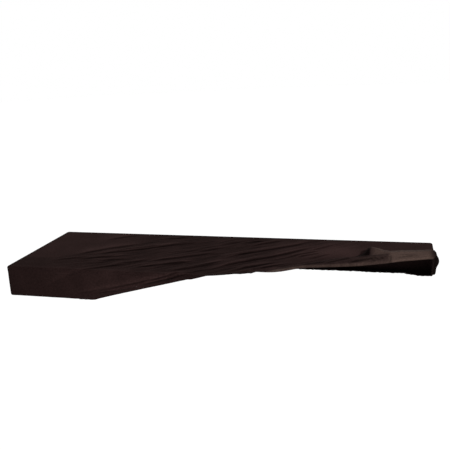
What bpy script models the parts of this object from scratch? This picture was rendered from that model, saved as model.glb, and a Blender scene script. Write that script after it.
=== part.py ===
"""Fitted stretch cover for a piano keyboard, in the shape in which it hangs with its front right side pulled up.

Metres. +X runs along its length to the right, -Y to the front and +Z up.
The origin is the middle of the top panel's underside, where the cover is held.
One cloth: a top with four sides, closed by a seam down each corner, and an elastic hem round its mouth.
"""

import math
from collections import namedtuple

import bmesh
import bpy

# The space that the fitted cover encloses.
INNER_LENGTH = 1.073
INNER_DEPTH = 0.336
INNER_HEIGHT = 0.076

# The cloth. Its hem is drawn in under the bottom edge, as a lip.
CLOTH_THICKNESS = 0.0016
HEM_THICKNESS = 0.0030
HEM_WIDTH = 0.012
EDGE_RADIUS = 0.0045
CORNER_RADIUS = 0.0070
HEM_BELOW = 0.0025
LIP_WIDTH = 0.024
LIP_CORNER_PULL = 0.010
LIP_CORNER_REACH = 0.060

# Where the cloth is folded back: the radius of its fold, the distance between the middles of two layers
# that lie on each other, and the cloth left hanging forward where it isn't folded.
FOLD_RADIUS = 0.0025
LAYER_GAP = 0.0031
FORWARD_TAIL = 0.014

# Grid lines: columns along the length, closer where the cloth bends more, rows across the top as shares
# of its depth, and rows down the sides.
Span = namedtuple("Span", "x0 x1 columns")
SPANS = [
    Span(-0.523, -0.430, 4),
    Span(-0.430, -0.300, 9),
    Span(-0.300, 0.100, 24),
    Span(0.100, 0.330, 14),
    Span(0.330, 0.418, 8),
    Span(0.418, 0.434, 4),
    Span(0.434, 0.523, 5),
]
FIRST_ROWS = (0.010, 0.022, 0.034)
TOP_ROWS = 32
EDGE_ROWS = 3
WALL_ROWS = 4
BEND_ROWS = 3
HEM_ROWS = (0.25, 0.6, 1.0)
HEM_SHARE = 0.8
SIDE_ROWS = EDGE_ROWS + WALL_ROWS + BEND_ROWS + 1 + len(HEM_ROWS)

# On a side shorter than its wall, the most of its length that goes to its hem, its edge and its wall.
SHORT_HEM = 0.4
SHORT_EDGE = 0.3
SHORT_WALL = 0.9

# Rows on a folded side: how much closer they lie round the fold, and the steps in which they are spread.
LOOP_PULL = 9.0
LOOP_SAMPLES = 240

# The middle of the cloth's thickness.
HALF_LENGTH = (INNER_LENGTH + CLOTH_THICKNESS) / 2
HALF_DEPTH = (INNER_DEPTH + CLOTH_THICKNESS) / 2
TOP_LEVEL = CLOTH_THICKNESS / 2
SIDE_DROP = INNER_HEIGHT + HEM_BELOW + CLOTH_THICKNESS

TOP_END = HALF_LENGTH - EDGE_RADIUS
TOP_FRONT = -(HALF_DEPTH - EDGE_RADIUS)
TOP_BACK = HALF_DEPTH - EDGE_RADIUS
BEND_LENGTH = EDGE_RADIUS * math.pi / 2
WALL_LENGTH = SIDE_DROP - 2 * EDGE_RADIUS
FULL_SKIRT = 2 * BEND_LENGTH + WALL_LENGTH + LIP_WIDTH
LOOP_LENGTH = math.pi * FOLD_RADIUS

# The front outline. set_back is how far it lies behind the front face, measured over the cloth's path,
# and below zero it is how far it hangs down that face. turned is 1 where the front side is folded back
# over the top, and flap is how far back the folded side then reaches.
Station = namedtuple("Station", "x set_back turned flap")
FRONT_LINE = [
    Station(-0.5350, -0.1120, 0.0, 0.000),
    Station(-0.3750, -0.1120, 0.0, 0.000),
    Station(-0.3350, -0.0910, 0.0, 0.000),
    Station(-0.3000, -0.0810, 0.0, 0.000),
    Station(-0.2770, -0.0735, 0.0, 0.000),
    Station(-0.1910, -0.0500, 0.0, 0.000),
    Station(-0.0790, -0.0210, 0.0, 0.000),
    Station(0.0000, 0.0000, 0.0, 0.000),
    Station(0.0710, 0.0226, 0.0, 0.000),
    Station(0.1060, 0.0310, 0.0, 0.000),
    Station(0.1510, 0.0380, 0.5, 0.004),
    Station(0.1800, 0.0550, 1.0, 0.012),
    Station(0.2220, 0.0840, 1.0, 0.018),
    Station(0.2660, 0.0960, 1.0, 0.030),
    Station(0.3000, 0.1030, 1.0, 0.044),
    Station(0.3280, 0.1100, 1.0, 0.052),
    Station(0.3550, 0.1180, 1.0, 0.070),
    Station(0.3700, 0.1240, 1.0, 0.090),
    Station(0.3800, 0.1280, 1.0, 0.112),
    Station(0.3950, 0.1345, 1.0, 0.104),
    Station(0.4180, 0.1450, 1.0, 0.090),
    Station(0.4530, 0.1650, 1.0, 0.080),
    Station(0.4890, 0.1790, 1.0, 0.070),
    Station(0.5190, 0.1910, 1.0, 0.063),
    Station(0.5350, 0.1940, 1.0, 0.060),
]

# The main folds that the pull raises. Each runs from one point to another over the top and front,
# where across is measured back from the front edge and down the front face below zero. Bow is how far
# its middle is off the straight line. It rises and falls over FOLD_ENDS of its length, and fades out
# within FOLD_FADE of a layer that lies on it.
Fold = namedtuple("Fold", "x0 across0 x1 across1 width height bow")
FOLDS = [
    Fold(-0.420, 0.088, -0.050, 0.276, 0.013, 0.0042, 0.007),
    Fold(-0.395, 0.118, -0.245, 0.226, 0.010, 0.0026, 0.000),
    Fold(-0.310, 0.032, -0.030, 0.172, 0.012, 0.0038, 0.002),
    Fold(-0.270, 0.000, -0.020, 0.150, 0.011, 0.0034, -0.007),
    Fold(-0.200, -0.026, 0.000, 0.128, 0.011, 0.0036, 0.002),
    Fold(-0.070, 0.118, 0.110, 0.218, 0.010, 0.0028, 0.000),
    Fold(-0.080, 0.205, 0.150, 0.318, 0.012, 0.0036, 0.004),
    Fold(-0.060, 0.032, 0.235, 0.304, 0.012, 0.0052, 0.011),
    Fold(-0.020, 0.004, 0.272, 0.268, 0.012, 0.0052, 0.008),
    Fold(0.000, 0.004, 0.235, 0.138, 0.010, 0.0040, 0.004),
    Fold(0.145, 0.120, 0.268, 0.226, 0.009, 0.0032, 0.000),
    Fold(0.190, 0.116, 0.305, 0.236, 0.009, 0.0032, 0.000),
    Fold(0.240, 0.132, 0.330, 0.220, 0.009, 0.0024, 0.000),
    Fold(-0.325, -0.066, -0.040, -0.004, 0.006, 0.0024, -0.003),
]
FOLD_ENDS = 0.3
FOLD_FADE = 0.020

# The bunched part of the folded side: a roll that lies along the fold, and a crest where the side was
# pulled up, steeper on its left. Both start and stop along the length at the BUNCH values. back is
# measured from the fold. Nearer to the fold than CREST_STRAIGHT, the crest leans to the left.
Bump = namedtuple("Bump", "back reach height")
ROLL = Bump(0.024, 0.018, 0.0085)
CREST = Bump(0.095, 0.036, 0.0085)
CREST_X = 0.376
CREST_LEFT = 0.012
CREST_RIGHT = 0.034
CREST_STRAIGHT = 0.085
CREST_LEAN = 0.25
BUNCH_START = 0.250
BUNCH_RISE = 0.090
BUNCH_STOP = 0.4225
BUNCH_FALL = 0.008
SETTLE_BACK = 0.045
SETTLE_END = 0.030

# The right side's front corner is folded back with the front side. RIGHT_DEPTH is how deep that side is
# behind its fold, and FOLD_OPENING the length over which the fold opens out at the hem. The folded
# corner settles on the side below it, and a pocket of loose cloth stands off it near the front.
RIGHT_DEPTH = TOP_BACK - (FRONT_LINE[-1].set_back - HALF_DEPTH + FOLD_RADIUS)
FOLD_OPENING = 0.014
CORNER_SHARE = 0.5
SETTLE_FOLD = 0.030
SETTLE_DOWN = 0.020
SETTLE_BELOW = 0.004
POCKET_DOWN = 0.022
POCKET_HEIGHT = 0.020
POCKET_DEPTH = 0.034
POCKET_OUT = 0.0075
POCKET_RISE = 0.010

CLOTH_COLOUR = (0.018, 0.011, 0.010, 1.0)
CLOTH_ROUGHNESS = 0.78


def clear_scene():
    """Remove whatever the scene holds."""
    for obj in list(bpy.data.objects):
        bpy.data.objects.remove(obj)


def smooth(t):
    """0 to 1 as t goes from 0 to 1, level at both ends."""
    t = min(max(t, 0.0), 1.0)
    return t * t * (3.0 - 2.0 * t)


def along_front(x, column):
    """The named column of the front outline at x, as one smooth curve through the stations."""
    last = len(FRONT_LINE) - 1
    at = min(max(x, FRONT_LINE[0].x), FRONT_LINE[last].x)
    i = next(n for n in range(last) if at <= FRONT_LINE[n + 1].x)
    near = [FRONT_LINE[min(max(n, 0), last)] for n in range(i - 1, i + 3)]
    xs = [station.x for station in near]
    values = [getattr(station, column) for station in near]
    width = xs[2] - xs[1]
    t = (at - xs[1]) / width
    rise = (values[2] - values[1]) / width
    limit = 3.0 * abs(rise)
    slopes = []
    for n in (1, 2):
        span = xs[n + 1] - xs[n - 1]
        slope = (values[n + 1] - values[n - 1]) / span if span > width else rise
        slopes.append(min(max(slope, -limit), limit) if slope * rise > 0 else 0.0)
    return (
        (2 * t**3 - 3 * t**2 + 1) * values[1]
        + (t**3 - 2 * t**2 + t) * width * slopes[0]
        + (3 * t**2 - 2 * t**3) * values[2]
        + (t**3 - t**2) * width * slopes[1]
    )


def front_start(x):
    """The Y at which the top ends and the front side's path starts."""
    turned = along_front(x, "turned")
    reach = FORWARD_TAIL * (1.0 - turned) + FOLD_RADIUS * turned
    edge = TOP_FRONT + along_front(x, "set_back") - EDGE_RADIUS + reach
    return max(TOP_FRONT, edge)


def front_skirt(x):
    """The length of the front side's path at x, from front_start to its hem."""
    set_back = along_front(x, "set_back")
    turned = along_front(x, "turned")
    if turned > 0.0:
        folded = LOOP_LENGTH + along_front(x, "flap") - FOLD_RADIUS
        return FORWARD_TAIL * (1.0 - turned) + folded * turned
    if set_back >= EDGE_RADIUS - FORWARD_TAIL:
        return FORWARD_TAIL
    return min(max(FORWARD_TAIL, BEND_LENGTH - set_back - EDGE_RADIUS), FULL_SKIRT)


def hang(s, out=0.0):
    """How far outwards and down a side's cloth is, s along its path from the flat top's edge.

    out moves the point off that path, away from the space inside.
    """
    if s < 0.0:
        return s, -out
    radius = EDGE_RADIUS + out
    if s < BEND_LENGTH:
        a = s / EDGE_RADIUS
        return radius * math.sin(a), EDGE_RADIUS - radius * math.cos(a)
    s -= BEND_LENGTH
    if s < WALL_LENGTH:
        return radius, EDGE_RADIUS + s
    s -= WALL_LENGTH
    if s < BEND_LENGTH:
        a = s / EDGE_RADIUS
        return radius * math.cos(a), EDGE_RADIUS + WALL_LENGTH + radius * math.sin(a)
    s -= BEND_LENGTH
    return -s, SIDE_DROP + out


def side_rows(total):
    """The distances down a side's path at which its rows lie: edge, wall, bottom bend, lip and hem."""
    hem = min(HEM_WIDTH, total * SHORT_HEM)
    inner = total - hem
    edge = min(BEND_LENGTH, inner * SHORT_EDGE)
    bend_end = min(2 * BEND_LENGTH + WALL_LENGTH, inner - hem / (2 * len(HEM_ROWS)))
    bend_start = min(BEND_LENGTH + WALL_LENGTH, bend_end * SHORT_WALL)
    rows = [edge * k / EDGE_ROWS for k in range(EDGE_ROWS)]
    rows += [edge + (bend_start - edge) * k / WALL_ROWS for k in range(WALL_ROWS)]
    rows += [bend_start + (bend_end - bend_start) * k / BEND_ROWS for k in range(BEND_ROWS + 1)]
    return rows + [inner] + [inner + hem * share for share in HEM_ROWS]


def loop_rows(total, middle, reach):
    """The same for a side that is folded back, with most rows round the loop that lies about middle."""
    passed = [0.0]
    for n in range(LOOP_SAMPLES):
        off = (total * (n + 0.5) / LOOP_SAMPLES - middle) / reach
        passed.append(passed[-1] + 1.0 + LOOP_PULL * math.exp(-(off**2)))
    rows = []
    n = 0
    for k in range(SIDE_ROWS + 1):
        goal = passed[-1] * k / SIDE_ROWS
        while n < LOOP_SAMPLES - 1 and passed[n + 1] < goal:
            n += 1
        within = (goal - passed[n]) / (passed[n + 1] - passed[n])
        rows.append(total * (n + within) / LOOP_SAMPLES)
    return rows


def fold_height(x, across):
    """How far the folds raise the cloth off the space inside."""
    height = 0.0
    for fold in FOLDS:
        dx, dy = fold.x1 - fold.x0, fold.across1 - fold.across0
        length = math.hypot(dx, dy)
        t = ((x - fold.x0) * dx + (across - fold.across0) * dy) / length**2
        if not 0.0 < t < 1.0:
            continue
        off = ((across - fold.across0) * dx - (x - fold.x0) * dy) / length
        off -= fold.bow * 4.0 * t * (1.0 - t)
        ends = smooth(t / FOLD_ENDS) * smooth((1.0 - t) / FOLD_ENDS)
        height += fold.height * ends * math.exp(-((off / fold.width) ** 2))
    return height


def flap_lift(x, back):
    """How far the folded layer stands off its plain level: it settles on the top, or it is bunched."""
    bunched = smooth((x - BUNCH_START) / BUNCH_RISE) * (1.0 - smooth((x - BUNCH_STOP) / BUNCH_FALL))
    roll = ROLL.height * math.exp(-(((back - ROLL.back) / ROLL.reach) ** 2))
    crest_x = CREST_X - CREST_LEAN * max(CREST_STRAIGHT - back, 0.0)
    slope = CREST_LEFT if x < crest_x else CREST_RIGHT
    off = ((x - crest_x) / slope) ** 2 + ((back - CREST.back) / CREST.reach) ** 2
    crest = CREST.height * math.exp(-off)
    settled = smooth(back / SETTLE_BACK) * smooth((TOP_END - x) / SETTLE_END)
    return bunched * (roll + crest) + (LAYER_GAP - 2 * FOLD_RADIUS) * settled


def top_point(x, y):
    """A point of the top, with its outer corners rounded except at the front right."""
    straight = CORNER_RADIUS - EDGE_RADIUS
    cx, cy = TOP_END - straight, TOP_BACK - straight
    dx, dy = abs(x) - cx, abs(y) - cy
    front_right = x > 0.0 and y < 0.0
    if dx > 0.0 and dy > 0.0 and not front_right:
        shrink = max(dx, dy) / math.hypot(dx, dy)
        x = math.copysign(cx + dx * shrink, x)
        y = math.copysign(cy + dy * shrink, y)
    across = y + HALF_DEPTH
    start = front_start(x) + HALF_DEPTH
    clear = smooth((across - start) / FOLD_FADE) if along_front(x, "turned") > 0.0 else 1.0
    flap = along_front(x, "flap")
    if flap > 0.0:
        clear *= smooth((across - start - flap) / FOLD_FADE)
    return x, y, TOP_LEVEL + fold_height(x, across) * clear


def outward(x, y):
    """The plan direction in which a side's cloth leaves the top's edge at this point."""
    straight = CORNER_RADIUS - EDGE_RADIUS
    dx = max(abs(x) - (TOP_END - straight), 0.0)
    dy = max(abs(y) - (TOP_BACK - straight), 0.0)
    length = math.hypot(dx, dy)
    return math.copysign(dx / length, x), math.copysign(dy / length, y)


def side_point(x, y, s, out=0.0):
    """A point of a plain side, s down from the top's edge at x, y."""
    top_x, top_y, _ = top_point(x, y)
    nx, ny = outward(x, y)
    away, drop = hang(s, out)
    px, py = top_x + nx * max(away, 0.0), top_y + ny * max(away, 0.0)
    inwards = max(-away, 0.0) if s > 0.0 else 0.0
    if inwards > 0.0:
        from_end = (TOP_END - abs(x)) / LIP_CORNER_REACH
        from_back = (TOP_BACK - abs(y)) / LIP_CORNER_REACH
        pull = LIP_CORNER_PULL * smooth(1.0 - from_end) * smooth(1.0 - from_back) * inwards / LIP_WIDTH
        px -= px / TOP_END * inwards + math.copysign(pull, px)
        py -= py / TOP_BACK * inwards + math.copysign(pull, py)
    return px, py, TOP_LEVEL - drop


def folded_front_point(x, s):
    """A point of the front side where it is folded back: round the fold, then over the top."""
    start = front_start(x)
    bend = along_front(x, "turned") * math.pi
    a = min(s / FOLD_RADIUS, bend)
    back = s - a * FOLD_RADIUS
    lift = flap_lift(x, back) if a == bend else 0.0
    y = start - FOLD_RADIUS * math.sin(a) - back * math.cos(bend)
    z = TOP_LEVEL + FOLD_RADIUS * (1.0 - math.cos(a)) + back * math.sin(bend) + lift
    return x, y, z


def front_point(x, s):
    """A point of the front side, s along its path from the top's front end at x."""
    if along_front(x, "turned") > 0.0:
        return folded_front_point(x, s)
    along = s - (front_start(x) - TOP_FRONT)
    if along < 0.0:
        across = EDGE_RADIUS - along
    elif along < BEND_LENGTH:
        across = EDGE_RADIUS - along * 2 * EDGE_RADIUS / BEND_LENGTH
    else:
        across = BEND_LENGTH - along - EDGE_RADIUS
    raised = fold_height(x, across)
    if along < 0.0:
        return x, TOP_FRONT - along, TOP_LEVEL + raised
    return side_point(x, TOP_FRONT, along, raised)


def right_length(behind):
    """The length of the right side's path, behind the place where its fold starts."""
    short = front_skirt(TOP_END)
    return short + (FULL_SKIRT - short) * smooth((behind - short) / (RIGHT_DEPTH - short))


def right_point(y, s):
    """A point of the right side, whose front corner is folded back outside it at 45 degrees."""
    corner_y = front_start(TOP_END)
    behind = y - corner_y
    past = (s - behind) / math.sqrt(2.0)
    short = front_skirt(TOP_END)
    if past <= 0.0 or behind >= short:
        return side_point(TOP_END, y, s)
    turn = math.pi * smooth((short - behind) / FOLD_OPENING)
    a = min(past / FOLD_RADIUS, turn)
    rest = past - a * FOLD_RADIUS
    shift = (FOLD_RADIUS * math.sin(a) + rest * math.cos(a)) / math.sqrt(2.0)
    out = FOLD_RADIUS * (1.0 - math.cos(a)) + rest * math.sin(a)
    down = (s + behind) / 2.0 + shift
    back = (s + behind) / 2.0 - shift
    if behind == 0.0:
        # The corner's own column lies halfway between the two sides that meet there.
        down *= CORNER_SHARE
        back -= LOOP_LENGTH * (1.0 - math.sqrt(0.5)) * CORNER_SHARE * smooth(rest / LOOP_LENGTH)
    closed = smooth(2.0 * turn / math.pi - 1.0)
    settled = smooth(rest / SETTLE_FOLD) * smooth((down - SETTLE_BELOW) / SETTLE_DOWN)
    off = ((down - POCKET_DOWN) / POCKET_HEIGHT) ** 2 + (back / POCKET_DEPTH) ** 2
    pocket = POCKET_OUT * smooth(past / POCKET_RISE) * math.exp(-off)
    out += closed * ((LAYER_GAP - 2 * FOLD_RADIUS) * settled + pocket)
    away, drop = hang(down, out)
    return TOP_END + away, corner_y + back, TOP_LEVEL - drop


def grid_lines():
    """The X of each column and the share across the top of each row."""
    columns = [-TOP_END]
    for span in SPANS:
        columns += [span.x0 + (span.x1 - span.x0) * n / span.columns for n in range(span.columns)]
    columns += [SPANS[-1].x1, TOP_END]
    corner = (CORNER_RADIUS - EDGE_RADIUS) / (TOP_BACK - TOP_FRONT)
    first = FIRST_ROWS[-1]
    rows = [first + (1.0 - corner - first) * n / TOP_ROWS for n in range(1, TOP_ROWS + 1)]
    return columns, [0.0, *FIRST_ROWS, *rows, 1.0]


def skirt_rows(side, x, y):
    """The distances down the side's path at which its rows lie."""
    if side == "front" and along_front(x, "turned") > 0.0:
        return loop_rows(front_skirt(x), LOOP_LENGTH / 2, LOOP_LENGTH / 2)
    if side == "front":
        return side_rows(front_skirt(x))
    if side == "right":
        behind = y - front_start(TOP_END)
        across_fold = LOOP_LENGTH * math.sqrt(0.5)
        if behind < front_skirt(TOP_END):
            return loop_rows(right_length(behind), behind + across_fold, across_fold)
        return side_rows(right_length(behind))
    return side_rows(FULL_SKIRT)


def cloth_grid(last_column, last_row):
    """A flat grid for the top whose edge is extruded into four sides, and where in it each point is."""
    bm = bmesh.new()
    bmesh.ops.create_grid(bm, x_segments=last_column, y_segments=last_row, size=1.0)
    column_of = bm.verts.layers.int.new("column")
    row_of = bm.verts.layers.int.new("row")
    down_of = bm.verts.layers.int.new("down")
    for v in bm.verts:
        v[column_of] = round((v.co.x + 1) / 2 * last_column)
        v[row_of] = round((v.co.y + 1) / 2 * last_row)
    for down in range(1, SIDE_ROWS + 1):
        rim = [e for e in bm.edges if e.is_boundary]
        made = bmesh.ops.extrude_edge_only(bm, edges=rim)["geom"]
        for v in made:
            if isinstance(v, bmesh.types.BMVert):
                v[down_of] = down
    return bm, column_of, row_of, down_of


def cover_mesh():
    """The middle surface of the cloth, and for each of its points the cloth's share of the hem's thickness."""
    columns, rows = grid_lines()
    last_column, last_row = len(columns) - 1, len(rows) - 1
    bm, column_of, row_of, down_of = cloth_grid(last_column, last_row)
    bm.verts.ensure_lookup_table()
    shares = []
    known = {}
    for v in bm.verts:
        i, j, k = v[column_of], v[row_of], v[down_of]
        x = columns[i]
        front = front_start(x)
        y = front + (TOP_BACK - front) * rows[j]
        if k == 0:
            v.co = top_point(x, y)
            shares.append(CLOTH_THICKNESS / HEM_THICKNESS)
            continue
        if i == last_column and j < last_row:
            side = "right"
        else:
            side = "front" if j == 0 else "plain"
        if (side, i, j) not in known:
            known[side, i, j] = skirt_rows(side, x, y)
        s, total = known[side, i, j][k], known[side, i, j][-1]
        in_hem = total - s < HEM_WIDTH * HEM_SHARE
        shares.append(1.0 if in_hem else CLOTH_THICKNESS / HEM_THICKNESS)
        if side == "right":
            v.co = right_point(y, s)
        elif side == "front":
            v.co = front_point(x, s)
        else:
            v.co = side_point(x, y, s)
    bmesh.ops.recalc_face_normals(bm, faces=bm.faces)
    middle = min(bm.faces, key=lambda f: f.calc_center_median().length)
    if middle.normal.z < 0.0:
        bmesh.ops.reverse_faces(bm, faces=bm.faces)
    mesh = bpy.data.meshes.new("cover_cloth")
    bm.to_mesh(mesh)
    bm.free()
    return mesh, shares


def cloth_material():
    """Dark brown, nearly black stretch knit."""
    material = bpy.data.materials.new("stretch_cloth")
    material.use_nodes = True
    shader = material.node_tree.nodes["Principled BSDF"]
    shader.inputs["Base Color"].default_value = CLOTH_COLOUR
    shader.inputs["Roughness"].default_value = CLOTH_ROUGHNESS
    shader.inputs["Metallic"].default_value = 0.0
    return material


def make_cover():
    """The whole cover: its middle surface, given the cloth's thickness and the hem's."""
    mesh, shares = cover_mesh()
    cover = bpy.data.objects.new("cover_cloth", mesh)
    bpy.context.scene.collection.objects.link(cover)
    mesh.materials.append(cloth_material())
    mesh.shade_smooth()
    thickness = cover.vertex_groups.new(name="thickness")
    for index, share in enumerate(shares):
        thickness.add([index], share, "REPLACE")
    solidify = cover.modifiers.new("thickness", "SOLIDIFY")
    solidify.thickness = HEM_THICKNESS
    solidify.offset = 0.0
    solidify.vertex_group = "thickness"
    return cover


clear_scene()
make_cover()
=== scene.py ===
"""Looks of a long fitted stretch cover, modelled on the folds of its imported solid.

Metres. +X runs along the cover's length to the right, -Y to the front and +Z up, and the origin is the
middle of the top panel's underside, as in the solid.
"""

import math
import random
from collections import namedtuple

import bmesh
import bpy
import numpy as np
from bpy.props import FloatProperty, FloatVectorProperty, PointerProperty
from mathutils import Matrix, Vector


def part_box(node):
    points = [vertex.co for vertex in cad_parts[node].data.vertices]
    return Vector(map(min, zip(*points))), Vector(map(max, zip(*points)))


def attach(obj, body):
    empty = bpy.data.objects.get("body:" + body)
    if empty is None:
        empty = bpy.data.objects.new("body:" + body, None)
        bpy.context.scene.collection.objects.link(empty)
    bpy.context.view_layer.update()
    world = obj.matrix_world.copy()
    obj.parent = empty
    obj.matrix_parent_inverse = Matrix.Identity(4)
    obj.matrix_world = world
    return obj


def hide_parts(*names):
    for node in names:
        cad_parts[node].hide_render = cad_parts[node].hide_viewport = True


bl_info = {
    "name": "Long fitted stretch cover",
    "version": (1, 0, 0),
    "blender": (4, 5, 0),
    "location": "View3D > Sidebar > Cover",
    "description": "Builds a fitted stretch cover with its folds and stitching, and a studio stage",
    "category": "Object",
}

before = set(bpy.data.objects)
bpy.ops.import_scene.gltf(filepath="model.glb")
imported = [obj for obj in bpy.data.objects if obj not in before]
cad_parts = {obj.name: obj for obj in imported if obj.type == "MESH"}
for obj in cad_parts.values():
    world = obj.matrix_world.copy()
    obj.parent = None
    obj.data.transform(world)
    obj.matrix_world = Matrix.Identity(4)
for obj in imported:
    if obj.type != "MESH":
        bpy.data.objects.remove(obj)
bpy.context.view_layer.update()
SOLID_LOW, SOLID_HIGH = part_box("cover_cloth")
SOLID_THICKNESS = 0.0016

# Sizes of the cloth's edges and folds, as in the solid.
EDGE_RADIUS = 0.0045
CORNER_RADIUS = 0.0070
HEM_BELOW = 0.0025
LIP_WIDTH = 0.024
LIP_CORNER_PULL = 0.010
LIP_CORNER_REACH = 0.060
FOLD_RADIUS = 0.0025
LAYER_GAP = 0.0031
FORWARD_TAIL = 0.014
BEND_LENGTH = EDGE_RADIUS * math.pi / 2
LOOP_LENGTH = math.pi * FOLD_RADIUS

# Grid lines of the cloth: columns along the length, rows across the top, and rows down the sides for
# their edge, wall, bottom bend and lip, with the hem's rows as shares of its width.
Span = namedtuple("Span", "x0 x1 columns")
SPANS = [
    Span(-0.523, -0.430, 19),
    Span(-0.430, -0.300, 24),
    Span(-0.300, 0.100, 88),
    Span(0.100, 0.330, 56),
    Span(0.330, 0.418, 32),
    Span(0.418, 0.434, 8),
    Span(0.434, 0.523, 30),
]
CORNER_STEPS = 2
TOP_ROWS = 92
EDGE_ROWS = 6
WALL_ROWS = 13
BEND_ROWS = 4
LIP_ROWS = 3
HEM_ROWS = (0.0, 0.12, 0.3, 0.55, 0.85, 1.0)
HEM_START_ROW = EDGE_ROWS + WALL_ROWS + BEND_ROWS + LIP_ROWS
SIDE_ROWS = HEM_START_ROW + len(HEM_ROWS) - 1

# The hem's very edge is HEM_EDGE_SHARE as thick as the hem. Where a side's path is short, its hem, its edge
# and its wall get these shares of it. Round a fold's loop the rows lie closer, by LOOP_PULL.
HEM_EDGE_SHARE = 0.55
SHORT_HEM = 0.4
SHORT_EDGE = 0.3
SHORT_WALL = 0.9
LOOP_PULL = 5.0
LOOP_SAMPLES = 240
TINY = 1e-9

# The front outline, as in the solid. set_back is how far it lies behind the front face along the cloth,
# turned is 1 where the front side is folded back over the top, and flap is how far back it then reaches.
Station = namedtuple("Station", "x set_back turned flap")
FRONT_LINE = [
    Station(-0.5350, -0.1120, 0.0, 0.000),
    Station(-0.3750, -0.1120, 0.0, 0.000),
    Station(-0.3350, -0.0910, 0.0, 0.000),
    Station(-0.3000, -0.0810, 0.0, 0.000),
    Station(-0.2770, -0.0735, 0.0, 0.000),
    Station(-0.1910, -0.0500, 0.0, 0.000),
    Station(-0.0790, -0.0210, 0.0, 0.000),
    Station(0.0000, 0.0000, 0.0, 0.000),
    Station(0.0710, 0.0226, 0.0, 0.000),
    Station(0.1060, 0.0310, 0.0, 0.000),
    Station(0.1510, 0.0380, 0.5, 0.004),
    Station(0.1800, 0.0550, 1.0, 0.012),
    Station(0.2220, 0.0840, 1.0, 0.018),
    Station(0.2660, 0.0960, 1.0, 0.030),
    Station(0.3000, 0.1030, 1.0, 0.044),
    Station(0.3280, 0.1100, 1.0, 0.052),
    Station(0.3550, 0.1180, 1.0, 0.070),
    Station(0.3700, 0.1240, 1.0, 0.090),
    Station(0.3800, 0.1280, 1.0, 0.112),
    Station(0.3950, 0.1345, 1.0, 0.104),
    Station(0.4180, 0.1450, 1.0, 0.090),
    Station(0.4530, 0.1650, 1.0, 0.080),
    Station(0.4890, 0.1790, 1.0, 0.070),
    Station(0.5190, 0.1910, 1.0, 0.063),
    Station(0.5350, 0.1940, 1.0, 0.060),
]

# The folds that the pull raises over the top and front, each by the crease that it rises from. across is
# measured back from the front edge, and down the front face below zero. Between its two ends a crease is
# off the straight line by bow in the middle, and by sway one way before it and the other way after it.
# The cloth rises steeply over the front width behind the crease, and falls gently over the back one.
Fold = namedtuple("Fold", "x0 across0 x1 across1 bow sway height front back")
FOLDS = [
    Fold(-0.392, 0.106, -0.030, 0.288, 0.000, -0.0065, 0.0028, 0.0047, 0.024),
    Fold(-0.412, 0.098, -0.236, 0.246, 0.004, 0.0000, 0.0023, 0.0051, 0.026),
    Fold(-0.385, 0.248, -0.250, 0.346, 0.002, 0.0000, 0.0020, 0.0076, 0.026),
    Fold(-0.410, 0.076, -0.205, 0.138, -0.007, 0.0000, 0.0021, 0.0043, 0.014),
    Fold(-0.330, 0.064, -0.212, 0.104, 0.001, 0.0000, 0.0017, 0.0038, 0.010),
    Fold(-0.212, 0.016, -0.044, 0.110, 0.000, 0.0030, 0.0026, 0.0047, 0.022),
    Fold(-0.200, 0.062, 0.014, 0.190, 0.004, 0.0000, 0.0026, 0.0047, 0.018),
    Fold(-0.120, 0.008, 0.040, 0.138, -0.013, 0.0000, 0.0029, 0.0047, 0.014),
    Fold(-0.004, 0.104, 0.240, 0.340, -0.002, 0.0100, 0.0032, 0.0047, 0.020),
    Fold(-0.020, 0.018, 0.246, 0.282, -0.006, 0.0070, 0.0031, 0.0047, 0.018),
    Fold(0.056, 0.040, 0.172, 0.128, 0.002, 0.0000, 0.0023, 0.0043, 0.014),
    Fold(0.108, 0.052, 0.196, 0.118, 0.002, 0.0000, 0.0018, 0.0038, 0.011),
    Fold(0.052, 0.236, 0.156, 0.320, 0.001, 0.0000, 0.0020, 0.0043, 0.012),
    Fold(0.016, 0.262, 0.096, 0.300, 0.001, 0.0000, 0.0021, 0.0043, 0.008),
    Fold(-0.210, 0.286, -0.120, 0.308, 0.001, 0.0000, 0.0021, 0.0043, 0.009),
    Fold(0.168, 0.158, 0.260, 0.230, 0.000, 0.0000, 0.0021, 0.0038, 0.008),
    Fold(0.192, 0.160, 0.262, 0.208, 0.000, 0.0000, 0.0020, 0.0038, 0.008),
    Fold(0.222, 0.146, 0.290, 0.206, 0.000, 0.0000, 0.0018, 0.0038, 0.008),
    Fold(-0.130, 0.158, -0.010, 0.222, 0.002, 0.0000, 0.0018, 0.0043, 0.012),
    Fold(-0.300, 0.160, -0.180, 0.224, 0.001, 0.0000, 0.0015, 0.0043, 0.010),
    Fold(-0.365, -0.069, -0.075, 0.003, -0.005, 0.0000, 0.0019, 0.0030, 0.008),
    Fold(-0.310, -0.064, -0.150, -0.032, -0.002, 0.0000, 0.0013, 0.0030, 0.006),
    Fold(-0.180, -0.036, -0.022, 0.009, -0.001, 0.0000, 0.0028, 0.0030, 0.006),
    Fold(-0.152, -0.023, -0.048, 0.010, 0.000, 0.0000, 0.0021, 0.0030, 0.006),
]

# A fold rises from both ends over FOLD_ENDS of its length, and its front is FOLD_NARROW as wide there. It
# fades over FOLD_FADE beside the folded side, and over EDGE_FADE at the top's ends and back. The trough at
# its foot is TROUGH_SHARE as deep as the fold is high, but no lower than LOWEST_TROUGH. The crease is
# CREASE_REACH as wide as the fold's front, and the shade painted into it is darkest where it is CREASE_FULL
# deep.
FOLD_ENDS = 0.32
FOLD_NARROW = 0.5
FOLD_FADE = 0.020
EDGE_FADE = 0.025
TROUGH_SHARE = 0.15
LOWEST_TROUGH = -0.0002
CREASE_REACH = 0.85
CREASE_FULL = 0.0026
# Strength of the shade painted into the creases.
CREASE_SHADE = 1.35
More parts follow.
